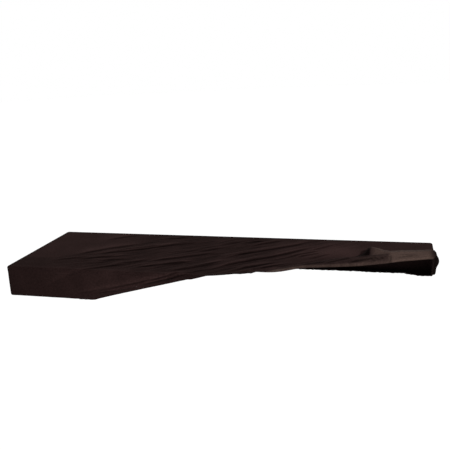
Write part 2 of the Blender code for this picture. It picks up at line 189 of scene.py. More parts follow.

# Two strips of painted shade: along the top's front edge, fading out to the right, and down the front's
# left end.
EDGE_SHADE = 0.36
EDGE_REACH_TOP = 0.036
EDGE_REACH_FRONT = 0.006
EDGE_RIGHT = -0.120
EDGE_RIGHT_FADE = 0.140
END_SHADE = 0.30
END_REACH = 0.030

# Finer wrinkles, strewn where the cloth is pulled and turned as the folds fan out. Left of FINE_LEFT there
# are none behind the first fold.
FINE_COUNT = 130
FINE_SEED = 7
FINE_X = (-0.400, 0.330)
FINE_ACROSS = (-0.030, 0.330)
FINE_LEFT = -0.060
FINE_CLEAR = 0.012
FINE_HALF_LENGTH = (0.035, 0.105)
FINE_LOWEST = 0.3
FINE_BOW = 0.004
FINE_FRONT = (0.0028, 0.0045)
FINE_BACK = (0.005, 0.011)
FAN_X = (-0.350, 0.250)
FAN_ANGLE = (27.0, 45.0)
FAN_SPREAD = 3.0

# Where the cloth is pulled taut, it is finely lined and has shade painted on it. It is smooth behind the
# folds at the back left, less pulled on the front, and less and less towards the right. The patches of
# painted light are lighter, and have no lines. The lines also fade out at the left end.
Patch = namedtuple("Patch", "x across reach_x reach_across share")
LIGHT_PATCHES = [
    Patch(0.275, 0.205, 0.125, 0.085, 1.3),
    Patch(0.525, 0.310, 0.050, 0.110, 0.5),
    Patch(0.150, 0.300, 0.050, 0.045, 0.5),
    Patch(-0.230, -0.035, 0.120, 0.045, 1.6),
]
SMOOTH_EDGE = 0.024
SMOOTH_LEFT = -0.290
SMOOTH_FADE = 0.080
SMOOTH_ACROSS = 0.070
PULLED_END = 0.240
PULLED_FADE = 0.140
PULLED_FRONT = 0.05
LINED_LEFT = -0.400
LINED_FADE = 0.110

# Broad swells of the top, and the slight unevenness of the whole cloth.
Swell = namedtuple("Swell", "x across reach_x reach_across height")
SWELLS = [
    Swell(0.285, 0.220, 0.070, 0.060, 0.0024),
    Swell(0.115, 0.040, 0.022, 0.020, 0.0036),
]
UNEVEN_HEIGHT = 0.0004
UNEVEN_WAVES = 9
UNEVEN_LENGTH = (0.050, 0.200)
UNEVEN_SEED = 11

# Where the folded side is bunched, wrinkles run over it. Their across is measured back from the fold.
FLAP_FOLDS = [
    Fold(0.212, 0.003, 0.292, 0.018, 0.001, 0.0000, 0.0018, 0.003, 0.005),
    Fold(0.240, 0.010, 0.326, 0.036, 0.001, 0.0000, 0.0018, 0.004, 0.006),
    Fold(0.262, 0.006, 0.352, 0.024, 0.001, 0.0000, 0.0020, 0.004, 0.007),
    Fold(0.300, 0.022, 0.378, 0.040, 0.001, 0.0000, 0.0022, 0.005, 0.008),
    Fold(0.322, 0.004, 0.410, 0.018, -0.001, 0.0000, 0.0026, 0.004, 0.007),
    Fold(0.344, 0.016, 0.424, 0.036, 0.002, 0.0000, 0.0028, 0.005, 0.009),
    Fold(0.378, 0.004, 0.428, 0.014, 0.000, 0.0000, 0.0020, 0.004, 0.006),
    Fold(0.352, 0.062, 0.372, 0.108, 0.000, 0.0000, 0.0024, 0.006, 0.003),
    Fold(0.392, 0.052, 0.440, 0.060, 0.000, 0.0000, 0.0016, 0.006, 0.004),
    Fold(0.440, 0.040, 0.505, 0.030, 0.001, 0.0000, 0.0012, 0.006, 0.006),
    Fold(0.430, 0.010, 0.520, 0.020, 0.002, 0.0000, 0.0014, 0.008, 0.006),
]
FLAP_CLEAR = 0.006

# A low line runs along the folded band, at the same distance from its hem.
BAND_LINE_FROM_HEM = 0.050
BAND_LINE_WIDTH = 0.0035
BAND_LINE_HEIGHT = 0.0022
BAND_LINE_X = 0.400
BAND_LINE_RISE = 0.025

# The gathers fade over GATHER_REACH from the hem, and are pulled almost flat along the front. Two slow
# waves, each with its strength and length, shift them, and a third makes some of them lower than others.
GATHER_REACH = 0.028
GATHER_PULLED = 0.22
GATHER_ON_FLAP = 0.5
GATHER_SHIFTS = ((1.4, 0.0075), (0.8, 0.0190))
GATHER_MEAN = 0.65
GATHER_VARIES = 0.35
GATHER_VARIES_LENGTH = 0.0060
GATHER_VARIES_START = 1.0

# Where the folded side's inner face shows lighter, by its own colour and by painted light: wholly on its
# band, almost not at the band's right end, and less where light is painted on the crest, the roll and the
# turn of the fold.
CREST_LIT = 0.62
CREST_LIT_BACK = 0.046
CREST_LIT_FADE = 0.014
CREST_LIT_X = 0.374
CREST_LIT_RISE = 0.026
ROLL_LIT = 0.26
ROLL_LIT_REACH = 0.034
FOLD_LIT = 0.52
FOLD_LIT_REACH = 0.003
BAND_END = 0.008
CORNER_LIT = 0.08

# Painted shade and shadow on the folded side: shade in its wrinkles, a shadow in the hollow left of the
# crest, shade in the tuck behind the fold, a shadow at the step from the bunched part down to the band,
# shade under the roll and in short dashes along the fold left of the roll, and shade on the corner that is
# folded back outside the right side.
WRINKLE_SHADE = 1.4
HOLLOW_SHADOW = 1.95
HOLLOW_EDGE = 0.383
HOLLOW_FADE = 0.006
HOLLOW_BACK = 0.029
HOLLOW_BACK_FADE = 0.014
TUCK_SHADE = 0.15
TUCK_BACK = 0.011
TUCK_REACH = 0.007
STEP_SHADOW = 1.1
STEP_REACH = 0.0035
STEP_BACK = 0.050
STEP_BACK_FADE = 0.011
UNDER_SHADE = 0.3
UNDER_START = 0.375
UNDER_RISE = 0.030
UNDER_REACH = 0.009
DASH_SHADE = 0.45
DASH_REACH = 0.007
DASH_LENGTH = 0.0054
DASH_SHIFT = 2.0
DASH_SHIFT_LENGTH = 0.0170
CORNER_SHADE = 1.6
DARKEST = 2.0

# How deep the short seams at the corners lie.
SEAM_DEPTH = 0.0006

# The bunched part of the folded side, as in the solid.
Bump = namedtuple("Bump", "back reach height")
ROLL = Bump(0.024, 0.018, 0.0085)
CREST = Bump(0.095, 0.036, 0.0085)
CREST_X = 0.376
CREST_LEFT = 0.012
CREST_RIGHT = 0.034
CREST_STRAIGHT = 0.085
CREST_LEAN = 0.25
BUNCH_START = 0.250
BUNCH_RISE = 0.090
BUNCH_STOP = 0.4225
BUNCH_FALL = 0.008
SETTLE_BACK = 0.045
SETTLE_END = 0.030

# The folded corner at the right end, as in the solid.
FOLD_OPENING = 0.014
CORNER_SHARE = 0.5
SETTLE_FOLD = 0.030
SETTLE_DOWN = 0.020
SETTLE_BELOW = 0.004
POCKET_DOWN = 0.022
POCKET_HEIGHT = 0.020
POCKET_DEPTH = 0.034
POCKET_OUT = 0.0075
POCKET_RISE = 0.010

# The studio: where the floor is, and where the camera stands and looks, to the angle of the photograph.
FLOOR_RADIUS = 40.0
FLOOR_SIDES = 96
CAMERA_PLACE = (0.4327, -1.5534, 0.5107)
CAMERA_YAW = math.radians(15.156)
CAMERA_PITCH = math.radians(14.943)
CAMERA_ROLL = math.radians(-2.503)
CAMERA_LENS = 51.27
SENSOR_WIDTH = 36.0

# The hem's stitches: their row, the share of the pitch that one fills, its thread's width, how far its ends
# dip into the cloth, and the cuts along it.
STITCH_ROW = HEM_START_ROW + 1
STITCH_SHARE = 0.78
THREAD_WIDTH = 0.0005
STITCH_DIP = 0.00035
STITCH_CUTS = 2

# The noises of the finish: how fine they are, how many levels they have, and how strong the finer ones are.
Noise = namedtuple("Noise", "scale detail roughness")
CLOUDS = Noise(9.0, 3.0, 0.5)
GRAIN = Noise(240.0, 3.0, 0.7)
LINT = Noise(900.0, 1.0, 0.5)
CRINKLES = Noise(70.0, 3.0, 0.5)
PULL_LINES = Noise(120.0, 3.0, 0.6)
MATT_PATCHES = Noise(60.0, 2.0, 0.5)
THREAD_TWIST = Noise(800.0, 1.0, 0.5)

# The pull's fine lines run at PULL_ANGLE over the top, and are PULL_STRETCH times as long as wide. Grain
# counts GRAIN_WEIGHT times as much as clouds. Where the cloth stands RIDGE_FULL off its form its painted
# highlight is lightest, and the shade painted in a trough darkens it by no more than DEEPEST_TROUGH_SHADE.
# With shade painted between the loops it is LOOP_DARKEST as light there, and on them lighter by LOOP_TONE.
# Lint shows where its noise goes from LINT_FROM to LINT_FULL.
PULL_ANGLE = math.radians(34.0)
PULL_STRETCH = 10.0
GRAIN_WEIGHT = 4.0
RIDGE_FULL = 0.004
DEEPEST_TROUGH_SHADE = -0.3
LOOP_TONE = 0.35
LOOP_DARKEST = 0.85
LINT_FROM = 0.76
LINT_FULL = 0.84
LINT_COLOUR = (0.16, 0.14, 0.13, 1.0)
MATT_VARIES = 0.16
SHEEN_ROUGHNESS = 0.45
SHEEN_TINT = (0.80, 0.56, 0.52, 1.0)

# A loop of the knit: its width, its height as a share of that, how far its arms lean, and how much they
# bulge.
KNIT_PITCH = 0.0011
COURSE_SHARE = 0.8
ARM_LEAN = 0.5
ARM_BULGE = 0.7

# How mottled each face of the cloth is and how strong the painted highlight on its ridges is, the tint of
# the band's hem, and the thread's shades, as shares of its colour, with its finish.
Face = namedtuple("Face", "mottle rub")
OUTER_FACE = Face(0.46, 1.05)
INNER_FACE = Face(0.45, 0.20)
HEM_TINT = (0.85, 0.95, 1.0)
THREAD_DARK = 0.6
THREAD_LIGHT = 1.6
THREAD_ROUGHNESS = 0.75
THREAD_SPECULAR = 0.1

# The sockets of the node groups that aren't plain numbers, and the values that the finish reads per point.
SOCKET_KINDS = {"Vector": "NodeSocketVector", "Colour": "NodeSocketColor"}
POINT_VALUES = ("raised", "creased", "pulled", "lined", "to_hem", "spread")
Cloth = namedtuple("Cloth", ("bm", "places", "points", "flat", *POINT_VALUES))


class CoverSizes(bpy.types.PropertyGroup):
    """Sizes of the cover's cloth."""

    inner_length: FloatProperty(
        name="Inner length",
        description="Length of the space inside the cover",
        default=-2 * (SOLID_LOW.x + SOLID_THICKNESS),
        unit="LENGTH",
    )
    inner_depth: FloatProperty(
        name="Inner depth",
        description="Depth of the space inside the cover",
        default=2 * (SOLID_HIGH.y - SOLID_THICKNESS),
        unit="LENGTH",
    )
    inner_height: FloatProperty(
        name="Inner height",
        description="Height of the space inside the cover",
        default=0.076,
        unit="LENGTH",
    )
    thickness: FloatProperty(
        name="Cloth thickness", description="Thickness of one layer", default=0.0012, unit="LENGTH"
    )
    hem_thickness: FloatProperty(
        name="Hem thickness", description="Thickness of the turned hem", default=0.0026, unit="LENGTH"
    )
    hem_width: FloatProperty(
        name="Hem width", description="Width of the turned hem", default=0.012, unit="LENGTH"
    )
    fine_height: FloatProperty(
        name="Fine wrinkles",
        description="Height of the tallest of the finer wrinkles",
        default=0.0012,
        unit="LENGTH",
    )
    gather_height: FloatProperty(
        name="Gathers",
        description="Height of the gathers that the elastic draws in along the hem",
        default=0.0008,
        unit="LENGTH",
    )
    gather_pitch: FloatProperty(
        name="Gather pitch", description="Distance between two gathers", default=0.0160, unit="LENGTH"
    )
    stitch_pitch: FloatProperty(
        name="Stitch pitch", description="Distance between two stitches", default=0.0034, unit="LENGTH"
    )


class ClothLook(bpy.types.PropertyGroup):
    """Colours and finish of the cloth."""

    outside: FloatVectorProperty(
        name="Outside",
        description="Colour of the cloth's outer face",
        subtype="COLOR",
        default=(0.0130, 0.0070, 0.0066),
    )
    inside: FloatVectorProperty(
        name="Inside",
        description="Colour of the cloth's inner face",
        subtype="COLOR",
        default=(0.0150, 0.0088, 0.0082),
    )
    # The band's colour is the inner face's own colour with painted light on it.
    band: FloatVectorProperty(
        name="Band",
        description="Colour of the inner face where it lies spread out on the top",
        subtype="COLOR",
        default=(0.053, 0.0345, 0.0285),
    )
    thread: FloatVectorProperty(
        name="Thread",
        description="Colour of the sewing thread",
        subtype="COLOR",
        default=(0.014, 0.010, 0.010),
    )
    roughness: FloatProperty(
        name="Roughness", description="How matt the cloth is", default=0.72, subtype="FACTOR", min=0, max=1
    )
    sheen: FloatProperty(
        name="Sheen",
        description="Strength of the soft shine at low angles",
        default=0.020,
        subtype="FACTOR",
        min=0,
        max=1,
    )
    knit_pitch: FloatProperty(
        name="Knit pitch",
        description="Distance between two columns of loops",
        default=KNIT_PITCH,
        unit="LENGTH",
    )


class StageLook(bpy.types.PropertyGroup):
    """Floor and lights of the studio."""

    floor_drop: FloatProperty(
        name="Floor drop",
        description="How far the floor lies below the cover's top",
        default=1.80,
        unit="LENGTH",
    )
    floor: FloatVectorProperty(
        name="Floor", description="Colour of the floor", subtype="COLOR", default=(0.90, 0.90, 0.90)
    )
    sky: FloatProperty(
        name="Surrounding light", description="Strength of the light from all round", default=0.60
    )
    key: FloatProperty(name="Key light", description="Strength of the main light", default=3.6)
    key_size: FloatProperty(
        name="Key size",
        description="Angle that the main light fills",
        default=math.radians(9),
        subtype="ANGLE",
    )
    key_turn: FloatProperty(
        name="Key turn",
        description="Angle of the main light to the right of the front",
        default=math.radians(64),
        subtype="ANGLE",
    )
    key_rise: FloatProperty(
        name="Key rise",
        description="Angle of the main light above the horizon",
        default=math.radians(30),
        subtype="ANGLE",
    )


def smooth(t):
    """0 to 1 as t goes from 0 to 1, level at both ends."""
    t = np.clip(t, 0.0, 1.0)
    return t * t * (3.0 - 2.0 * t)


def bell(t):
    """1 at t = 0, fading on both sides."""
    return np.exp(-(t**2))


def ramp(value, start, length):
    """0 to 1 over the length that follows the start, level at both ends."""
    return smooth((value - start) / length)


def past_bunch(x):
    """0 where the folded side is bunched, and 1 to the right, where it lies flat as the band."""
    return ramp(x, BUNCH_STOP, BUNCH_FALL)


def along_front(x, column):
    """The named column of the front outline at x, as one smooth curve through the stations."""
    xs = np.array([station.x for station in FRONT_LINE])
    values = np.array([getattr(station, column) for station in FRONT_LINE])
    rise = np.diff(values) / np.diff(xs)
    middle = (values[2:] - values[:-2]) / (xs[2:] - xs[:-2])
    slopes = np.concatenate(([rise[0]], middle, [rise[-1]]))
    at = np.clip(x, xs[0], xs[-1])
    i = np.clip(np.searchsorted(xs, at) - 1, 0, len(rise) - 1)
    limit = 3.0 * np.abs(rise[i])
    start = np.where(slopes[i] * rise[i] > 0, np.clip(slopes[i], -limit, limit), 0.0)
    end = np.where(slopes[i + 1] * rise[i] > 0, np.clip(slopes[i + 1], -limit, limit), 0.0)
    width = xs[i + 1] - xs[i]
    t = (at - xs[i]) / width
    return (
        (2 * t**3 - 3 * t**2 + 1) * values[i]
        + (t**3 - 2 * t**2 + t) * width * start
        + (3 * t**2 - 2 * t**3) * values[i + 1]
        + (t**3 - t**2) * width * end
    )


class CoverForm:
    """Where the cloth's middle surface lies, before its folds, from the cover's sizes."""

    def __init__(self, sizes):
        self.half_depth = (sizes.inner_depth + sizes.thickness) / 2
        self.level = sizes.thickness / 2
        self.drop = sizes.inner_height + HEM_BELOW + sizes.thickness
        self.hem = sizes.hem_width
        self.end = (sizes.inner_length + sizes.thickness) / 2 - EDGE_RADIUS
        self.back = self.half_depth - EDGE_RADIUS
        self.wall = self.drop - 2 * EDGE_RADIUS
        self.skirt = 2 * BEND_LENGTH + self.wall + LIP_WIDTH
        self.straight = CORNER_RADIUS - EDGE_RADIUS
        self.corner_y = float(self.front_start(self.end))
        self.short = float(self.front_skirt(self.end))
        self.right_depth = self.back - self.corner_y

    def front_start(self, x):
        """The Y at which the top ends and the front side's path starts."""
        turned = along_front(x, "turned")
        reach = FORWARD_TAIL * (1.0 - turned) + FOLD_RADIUS * turned
        return np.maximum(-self.back, along_front(x, "set_back") - self.back - EDGE_RADIUS + reach)

    def front_skirt(self, x):
        """The length of the front side's path at x, from front_start to its hem."""
        set_back = along_front(x, "set_back")
        turned = along_front(x, "turned")
        folded = LOOP_LENGTH + along_front(x, "flap") - FOLD_RADIUS
        below_edge = BEND_LENGTH - set_back - EDGE_RADIUS
        hanging = np.where(set_back >= EDGE_RADIUS - FORWARD_TAIL, 0.0, below_edge)
        plain = np.clip(hanging, FORWARD_TAIL, self.skirt)
        return np.where(turned > 0.0, FORWARD_TAIL * (1.0 - turned) + folded * turned, plain)

    def right_length(self, behind):
        """The length of the right side's path, behind the place where its fold starts."""
        share = ramp(behind, self.short, self.right_depth - self.short)
        return self.short + (self.skirt - self.short) * share

    def hang(self, s, out):
        """How far outwards and down a side's cloth is, s along its path and out off that path."""
        first = np.clip(s / EDGE_RADIUS, 0.0, math.pi / 2)
        second = np.clip((s - BEND_LENGTH - self.wall) / EDGE_RADIUS, 0.0, math.pi / 2)
        inwards = np.maximum(s - 2 * BEND_LENGTH - self.wall, 0.0)
        radius = EDGE_RADIUS + out
        away = np.minimum(s, 0.0) + radius * np.sin(first) * np.cos(second) - inwards
        down = EDGE_RADIUS - radius * np.cos(first) + np.clip(s - BEND_LENGTH, 0.0, self.wall)
        return away, down + radius * np.sin(second)

    def top(self, x, y):
        """Points of the flat top, with its outer corners rounded except at the front right."""
        dx = np.abs(x) - (self.end - self.straight)
        dy = np.abs(y) - (self.back - self.straight)
        corner = (dx > 0.0) & (dy > 0.0) & ~((x > 0.0) & (y < 0.0))
        shrink = np.where(corner, np.maximum(dx, dy) / np.maximum(np.hypot(dx, dy), TINY), 1.0)
        px = np.where(corner, np.copysign(self.end - self.straight + dx * shrink, x), x)
        py = np.where(corner, np.copysign(self.back - self.straight + dy * shrink, y), y)
        return px, py

    def outward(self, x, y):
        """The plan direction in which a side's cloth leaves the top's edge."""
        dx = np.maximum(np.abs(x) - (self.end - self.straight), 0.0)
        dy = np.maximum(np.abs(y) - (self.back - self.straight), 0.0)
        length = np.maximum(np.hypot(dx, dy), TINY)
        return np.copysign(dx / length, x), np.copysign(dy / length, y)

    def side(self, x, y, s):
        """Points of a plain side, s down from the top's edge at x, y."""
        px, py = self.top(x, y)
        nx, ny = self.outward(x, y)
        away, down = self.hang(s, np.zeros_like(s))
        inwards = np.where(s > 0.0, np.maximum(-away, 0.0), 0.0)
        away = np.maximum(away, 0.0)
        px = px + nx * away
        py = py + ny * away
        near_end = smooth(1.0 - (self.end - np.abs(x)) / LIP_CORNER_REACH)
        near_back = smooth(1.0 - (self.back - np.abs(y)) / LIP_CORNER_REACH)
        pull = LIP_CORNER_PULL * near_end * near_back * inwards / LIP_WIDTH
        px = px - px / self.end * inwards - np.copysign(pull, px)
        py = py - py / self.back * inwards - np.copysign(pull, py)
        return np.stack((px, py, self.level - down), axis=1)

    def folded_front(self, x, s):
        """Points of the front side where it is folded back: round the fold, then over the top."""
        start = self.front_start(x)
        bend = along_front(x, "turned") * math.pi
        a = np.minimum(s / FOLD_RADIUS, bend)
        back = s - a * FOLD_RADIUS
        lift = np.where(a == bend, self.flap_lift(x, back), 0.0)
        y = start - FOLD_RADIUS * np.sin(a) - back * np.cos(bend)
        z = self.level + FOLD_RADIUS * (1.0 - np.cos(a)) + back * np.sin(bend) + lift
        return np.stack((x, y, z), axis=1)

    def flap_lift(self, x, back):
        """How far the folded layer stands off its plain level: it settles on the top, or is bunched."""
        bunched = ramp(x, BUNCH_START, BUNCH_RISE) * (1.0 - past_bunch(x))
        crest_x = CREST_X - CREST_LEAN * np.maximum(CREST_STRAIGHT - back, 0.0)
        roll = ROLL.height * bell((back - ROLL.back) / ROLL.reach)
        slope = np.where(x < crest_x, CREST_LEFT, CREST_RIGHT)
        crest = CREST.height * bell((x - crest_x) / slope) * bell((back - CREST.back) / CREST.reach)
        settled = smooth(back / SETTLE_BACK) * smooth((self.end - x) / SETTLE_END)
        return bunched * (roll + crest) + (LAYER_GAP - 2 * FOLD_RADIUS) * settled

    def plain_front(self, x, s):
        """Points of the front side where it lies on the top's front, or hangs down."""
        along = s - (self.front_start(x) + self.back)
        lying = np.stack((x, -self.back - along, np.full_like(x, self.level)), axis=1)
        hanging = self.side(x, np.full_like(x, -self.back), along)
        return np.where((along < 0.0)[:, None], lying, hanging)

    def right(self, y, s):
        """Points of the right side, whose front corner is folded back outside it at 45 degrees."""
        behind = y - self.corner_y
        plain = self.side(np.full_like(y, self.end), y, s)
        past = np.maximum((s - behind) / math.sqrt(2.0), 0.0)
        turn = math.pi * smooth((self.short - behind) / FOLD_OPENING)
        a = np.minimum(past / FOLD_RADIUS, turn)
        rest = past - a * FOLD_RADIUS
        shift = (FOLD_RADIUS * np.sin(a) + rest * np.cos(a)) / math.sqrt(2.0)
        out = FOLD_RADIUS * (1.0 - np.cos(a)) + rest * np.sin(a)
        down = (s + behind) / 2.0 + shift
        back = (s + behind) / 2.0 - shift
        corner = behind == 0.0
        down = np.where(corner, down * CORNER_SHARE, down)
        drawn = LOOP_LENGTH * (1.0 - math.sqrt(0.5)) * CORNER_SHARE * smooth(rest / LOOP_LENGTH)
        back = np.where(corner, back - drawn, back)
        closed = smooth(2.0 * turn / math.pi - 1.0)
        settled = smooth(rest / SETTLE_FOLD) * ramp(down, SETTLE_BELOW, SETTLE_DOWN)
        pocket = bell((down - POCKET_DOWN) / POCKET_HEIGHT) * bell(back / POCKET_DEPTH)
        pocket = pocket * POCKET_OUT * smooth(past / POCKET_RISE)
        out = out + closed * ((LAYER_GAP - 2 * FOLD_RADIUS) * settled + pocket)
        away, drop = self.hang(down, out)
        folded = np.stack((self.end + away, self.corner_y + back, self.level - drop), axis=1)
        is_folded = (s > behind) & (behind < self.short)
        return np.where(is_folded[:, None], folded, plain)


def grid_lines(form):
    """The X of each column and the share across the top of each row."""
    steps = [form.straight * math.tan(math.pi / 4 * n / CORNER_STEPS) for n in range(CORNER_STEPS + 1)]
    ends = [form.end - form.straight + step for step in steps]
    columns = [-x for x in reversed(ends)]
    for span in SPANS:
        columns += [span.x0 + (span.x1 - span.x0) * n / span.columns for n in range(span.columns)]
    columns += [SPANS[-1].x1, *ends]
    corner = [(form.straight - step) / (2 * form.back) for step in reversed(steps)]
    first, last = corner[-1], 1.0 - corner[-1]
    rows = corner + [first + (last - first) * n / TOP_ROWS for n in range(1, TOP_ROWS)]
    rows += [1.0 - share for share in reversed(corner)]
    return np.array(columns), np.array(rows)


def plain_rows(form, total):
    """The distances down a plain side's path: edge, wall, bottom bend, lip and hem."""
    hem = min(form.hem, total * SHORT_HEM)
    inner = total - hem
    edge = min(BEND_LENGTH, inner * SHORT_EDGE)
    bend_end = min(2 * BEND_LENGTH + form.wall, inner - hem / len(HEM_ROWS))
    bend_start = min(BEND_LENGTH + form.wall, bend_end * SHORT_WALL)
    stops = [
        (0.0, edge, EDGE_ROWS),
        (edge, bend_start, WALL_ROWS),
        (bend_start, bend_end, BEND_ROWS),
        (bend_end, inner, LIP_ROWS),
    ]
    rows = [low + (high - low) * k / count for low, high, count in stops for k in range(count)]
    return rows + [inner + hem * share for share in HEM_ROWS]


def loop_rows(form, total, middle, reach):
    """The same for a side that is folded back, with most rows round the loop that lies about middle."""
    hem = min(form.hem, total * SHORT_HEM)
    inner = total - hem
    at = inner * (np.arange(LOOP_SAMPLES) + 0.5) / LOOP_SAMPLES
    passed = np.concatenate(([0.0], np.cumsum(1.0 + LOOP_PULL * bell((at - middle) / reach))))
    goals = passed[-1] * np.arange(HEM_START_ROW) / HEM_START_ROW
    rows = np.interp(goals, passed, inner * np.arange(LOOP_SAMPLES + 1) / LOOP_SAMPLES)
    return list(rows) + [inner + hem * share for share in HEM_ROWS]


def skirt_rows(form, side, x, y):
    """The distances down the side's path at which its rows lie."""
    if side == "front" and along_front(x, "turned") > 0.0:
        return loop_rows(form, float(form.front_skirt(x)), LOOP_LENGTH / 2, LOOP_LENGTH / 2)
    if side == "front":
        return plain_rows(form, float(form.front_skirt(x)))
    if side != "right":
        return plain_rows(form, form.skirt)
    behind = y - form.corner_y
    total = float(form.right_length(behind))
    across_fold = LOOP_LENGTH * math.sqrt(0.5)
    if behind < form.short:
        return loop_rows(form, total, behind + across_fold, across_fold)
    return plain_rows(form, total)


def cloth_grid(last_column, last_row):
    """A flat grid for the top whose edge is extruded into four sides, and where in it each point is."""
    bm = bmesh.new()
    bmesh.ops.create_grid(bm, x_segments=last_column, y_segments=last_row, size=1.0)
    column_of = bm.verts.layers.int.new("column")
    row_of = bm.verts.layers.int.new("row")
    down_of = bm.verts.layers.int.new("down")
    for v in bm.verts:
        v[column_of] = round((v.co.x + 1) / 2 * last_column)
        v[row_of] = round((v.co.y + 1) / 2 * last_row)
    rim = [e for e in bm.edges if e.is_boundary]
    for down in range(1, SIDE_ROWS + 1):
        made = bmesh.ops.extrude_edge_only(bm, edges=rim)["geom"]
        for v in made:
            if isinstance(v, bmesh.types.BMVert):
                v[down_of] = down
        rim = [e for e in made if isinstance(e, bmesh.types.BMEdge) and e.is_boundary]
    places = np.array([(v[column_of], v[row_of], v[down_of]) for v in bm.verts])
    return bm, places


def behind_fold(x, across, fold):
    """How far a point lies behind the straight line along a fold, on the top."""
    slope = (fold.across1 - fold.across0) / (fold.x1 - fold.x0)
    return across - fold.across0 - slope * (x - fold.x0)


def strewn_folds(tallest):
    """The finer wrinkles, by a seeded draw, each turned the way in which the cloth is pulled there."""
    draw = random.Random(FINE_SEED)
    folds = []
    while len(folds) < FINE_COUNT:
        x, across = draw.uniform(*FINE_X), draw.uniform(*FINE_ACROSS)
        if x < FINE_LEFT and behind_fold(x, across, FOLDS[0]) > -FINE_CLEAR:
            continue
        turn = (x - FAN_X[0]) / (FAN_X[1] - FAN_X[0])
        degrees = FAN_ANGLE[0] + (FAN_ANGLE[1] - FAN_ANGLE[0]) * turn + draw.gauss(0.0, FAN_SPREAD)
        half = draw.uniform(*FINE_HALF_LENGTH)
        dx, dy = half * math.cos(math.radians(degrees)), half * math.sin(math.radians(degrees))
        bow = draw.uniform(-FINE_BOW, FINE_BOW)
        height = tallest * draw.uniform(FINE_LOWEST, 1.0)
        front, back = draw.uniform(*FINE_FRONT), draw.uniform(*FINE_BACK)
        folds.append(Fold(x - dx, across - dy, x + dx, across + dy, bow, 0.0, height, front, back))
    return folds


def fold_height(x, across, folds):
    """How far the folds raise the cloth, and how deep the creases are that they rise from."""
    height, crease = np.zeros_like(x), np.zeros_like(x)
    for fold in folds:
        dx, dy = fold.x1 - fold.x0, fold.across1 - fold.across0
        length = math.hypot(dx, dy)
        t = ((x - fold.x0) * dx + (across - fold.across0) * dy) / length**2
        straight = ((across - fold.across0) * dx - (x - fold.x0) * dy) / length
        off = straight - fold.bow * 4.0 * t * (1.0 - t) - fold.sway * np.sin(2 * math.pi * t)
        ends = smooth(t / FOLD_ENDS) * smooth((1.0 - t) / FOLD_ENDS)
        front = fold.front * (FOLD_NARROW + (1.0 - FOLD_NARROW) * ends)
        behind = off - front
        ridge = bell(behind / np.where(behind < 0.0, front, fold.back))
        foot = bell(off / front / CREASE_REACH)
        height += fold.height * ends * (ridge - TROUGH_SHARE * foot)
        crease += fold.height * ends * foot
    return height, smooth(crease / CREASE_FULL)


def edge_shade(x, across):
    """The strip of painted shade along the top's front edge, which fades out towards the right."""
    strip = bell(across / np.where(across > 0.0, EDGE_REACH_TOP, EDGE_REACH_FRONT))
    return EDGE_SHADE * strip * (1.0 - ramp(x, EDGE_RIGHT, EDGE_RIGHT_FADE))


